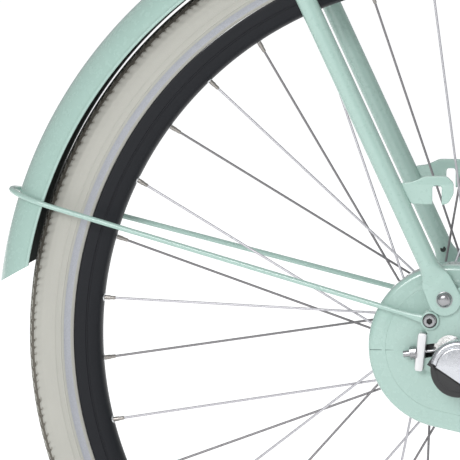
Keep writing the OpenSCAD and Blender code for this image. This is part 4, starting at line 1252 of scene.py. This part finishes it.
class CYCLE_OT_saddle(bpy.types.Operator):
    """Makes the leather saddle: crowned top, turned-down skirt, stitching and rivets"""
    bl_idname = "cycle.saddle"
    bl_label = "Saddle"

    def execute(self, context):
        low, high = box_mm("saddle")
        span = high.x - low.x
        stations = [(0.0, 0.30, 0.0), (0.012, 0.62, 0.0), (0.05, 0.86, 0.01), (0.12, 0.98, 0.02),
                    (0.2, 1.0, 0.03), (0.3, 0.95, 0.05), (0.4, 0.78, 0.09), (0.5, 0.57, 0.12),
                    (0.6, 0.42, 0.14), (0.7, 0.345, 0.15), (0.8, 0.3, 0.15), (0.9, 0.27, 0.16),
                    (0.96, 0.22, 0.19), (0.99, 0.13, 0.24), (1.0, 0.02, 0.3)]
        half = (high.y - low.y) / 2
        tall = high.z - low.z

        def row(share, width, sink, count=36):
            top = high.z - 1 - sink * tall
            base = low.z + (8 if share < 0.45 else 16)
            loop = []
            for k in range(count):
                turn = 2 * math.pi * k / count
                c, s = math.cos(turn), math.sin(turn)
                y = math.copysign(abs(c) ** 0.72, c) * half * width
                lift = abs(s) ** (0.8 if s > 0 else 0.5)
                mid = base + (top - base) * 0.42
                z = mid + (top - mid) * lift if s > 0 else mid - (mid - base) * lift
                if s > 0:
                    z -= 3.2 * math.exp(-(y / 9) ** 2) * smooth((share - 0.1) / 0.2) * smooth(
                        (0.8 - share) / 0.2)
                loop.append(Vector((low.x + 1.5 + (span - 3) * share, y, z)))
            return loop

        def at(share):
            for (a, wa, sa), (b, wb, sb) in zip(stations, stations[1:]):
                if a <= share <= b:
                    t = (share - a) / (b - a)
                    return wa + (wb - wa) * t, sa + (sb - sa) * t
            return stations[-1][1:]

        shares = [0.0, 0.006, 0.014, 0.028, 0.05, 0.08, 0.12, 0.16] + [
            0.2 + 0.04 * k for k in range(19)] + [0.945, 0.965, 0.98, 0.99, 0.997, 1.0]
        rows = [row(s, *at(s)) for s in shares]
        saddle = Shape()
        saddle.lofted(rows)
        obj = saddle.piece("saddle_leather", "seat", "brown_leather",
                           [FINISHES["brown leather"]], "saddle", crease=80)
        soften = obj.modifiers.new("soften", "SUBSURF")
        soften.levels = soften.render_levels = 1
        trim = Shape()
        for side in (0, 18):
            edge = [r[(side + (1 if side == 0 else -1)) % 36] for r in rows[4:-4]]
            edge = [Vector((p.x, p.y * 1.004, p.z)) for p in edge]
            for k in range(1, len(edge)):
                a, b = edge[k - 1], edge[k]
                pieces = max(1, round((b - a).length / 5.2))
                for i in range(pieces):
                    p = mixed(a, b, (i + 0.2) / pieces)
                    q = mixed(a, b, (i + 0.8) / pieces)
                    trim.swept([p, mixed(p, q, 0.5) + Vector((0, 0.25, 0)) * (
                        1 if p.y > 0 else -1), q], [0.35, 0.65, 0.35], 6, 0)
        for share, across in ((0.03, 0.25), (0.03, -0.25), (0.05, 0.62), (0.05, -0.62),
                              (0.965, 0.3), (0.965, -0.3)):
            width, sink = at(share)
            y = across * half * width
            z = high.z - 1 - sink * tall - (12 if share < 0.5 else 8)
            where = Vector((low.x + 1.5 + (span - 3) * share, y, z))
            out = Vector((-1, 0, 0.9)) if share < 0.5 else Vector((0.9, 0, 1))
            trim.turned([(0, -6), (4.6, -6), (4.6, 0.2), (4.2, 0.9), (2.6, 1.5), (0, 1.7)], 24,
                        along(where + out.normalized() * 3, out), 1)
        trim.piece("saddle_stitches_and_rivets", "seat", "brown_leather",
                   [FINISHES["stitch thread"], FINISHES["copper rivet"]])
        return {"FINISHED"}


# ---- CAD pieces that keep their shape ----

KEPT = {
    "mint gloss": ["head_tube", "main_tube", "keel_tube", "seat_tube", "bottom_bracket_shell",
                   "chain_stays", "seat_stays", "dropouts", "cross_beam", "beam_struts",
                   "kingpin_sleeves", "rack_platform", "knuckle_left", "knuckle_right"],
    "mint sheet": ["chain_case_inner"],
    "bright steel": ["rear_axle", "rear_axle_nuts", "brake_arm", "bearing_cups", "saddle_rails",
                     "chainring", "crank_axle", "steering_column"],
    "polished alloy": ["stem", "seat_post", "seat_clamp"],
    "dark steel": ["chain", "rear_sprocket", "tie_rod_left", "tie_rod_right"],
}


class CYCLE_OT_kept(bpy.types.Operator):
    """Gives the CAD pieces that keep their shape their finishes"""
    bl_idname = "cycle.kept"
    bl_label = "Frame finishes"

    def execute(self, context):
        for name, nodes in KEPT.items():
            for node in nodes:
                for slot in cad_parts[node].material_slots:
                    slot.material = FINISHES[name]
        return {"FINISHED"}


OPERATORS = (CYCLE_OT_stage, CYCLE_OT_tyres, CYCLE_OT_rims, CYCLE_OT_spokes_and_hubs,
             CYCLE_OT_guards, CYCLE_OT_rack_legs, CYCLE_OT_fixings, CYCLE_OT_chain_case,
             CYCLE_OT_gear_housing, CYCLE_OT_cranks, CYCLE_OT_pedals, CYCLE_OT_handlebar,
             CYCLE_OT_bell, CYCLE_OT_saddle, CYCLE_OT_kept)


class CYCLE_PT_panel(bpy.types.Panel):
    """Lists the settings and the makers"""
    bl_idname = "CYCLE_PT_panel"
    bl_label = "Tricycle"
    bl_space_type = "VIEW_3D"
    bl_region_type = "UI"
    bl_category = "Tricycle"

    def draw(self, context):
        layout = self.layout
        for group in (context.scene.cycle_sizes, context.scene.cycle_colours):
            for name in group.__annotations__:
                layout.prop(group, name)
        for operator in OPERATORS:
            layout.operator(operator.bl_idname)


CLASSES = (CYCLE_PG_sizes, CYCLE_PG_colours) + OPERATORS + (CYCLE_PT_panel,)


def register():
    for item in CLASSES:
        bpy.utils.register_class(item)
    bpy.types.Scene.cycle_sizes = bpy.props.PointerProperty(type=CYCLE_PG_sizes)
    bpy.types.Scene.cycle_colours = bpy.props.PointerProperty(type=CYCLE_PG_colours)


def unregister():
    del bpy.types.Scene.cycle_colours
    del bpy.types.Scene.cycle_sizes
    for item in reversed(CLASSES):
        bpy.utils.unregister_class(item)


def main():
    register()
    for operator in OPERATORS:
        group, name = operator.bl_idname.split(".")
        getattr(getattr(bpy.ops, group), name)()


if __name__ == "__main__":
    main()
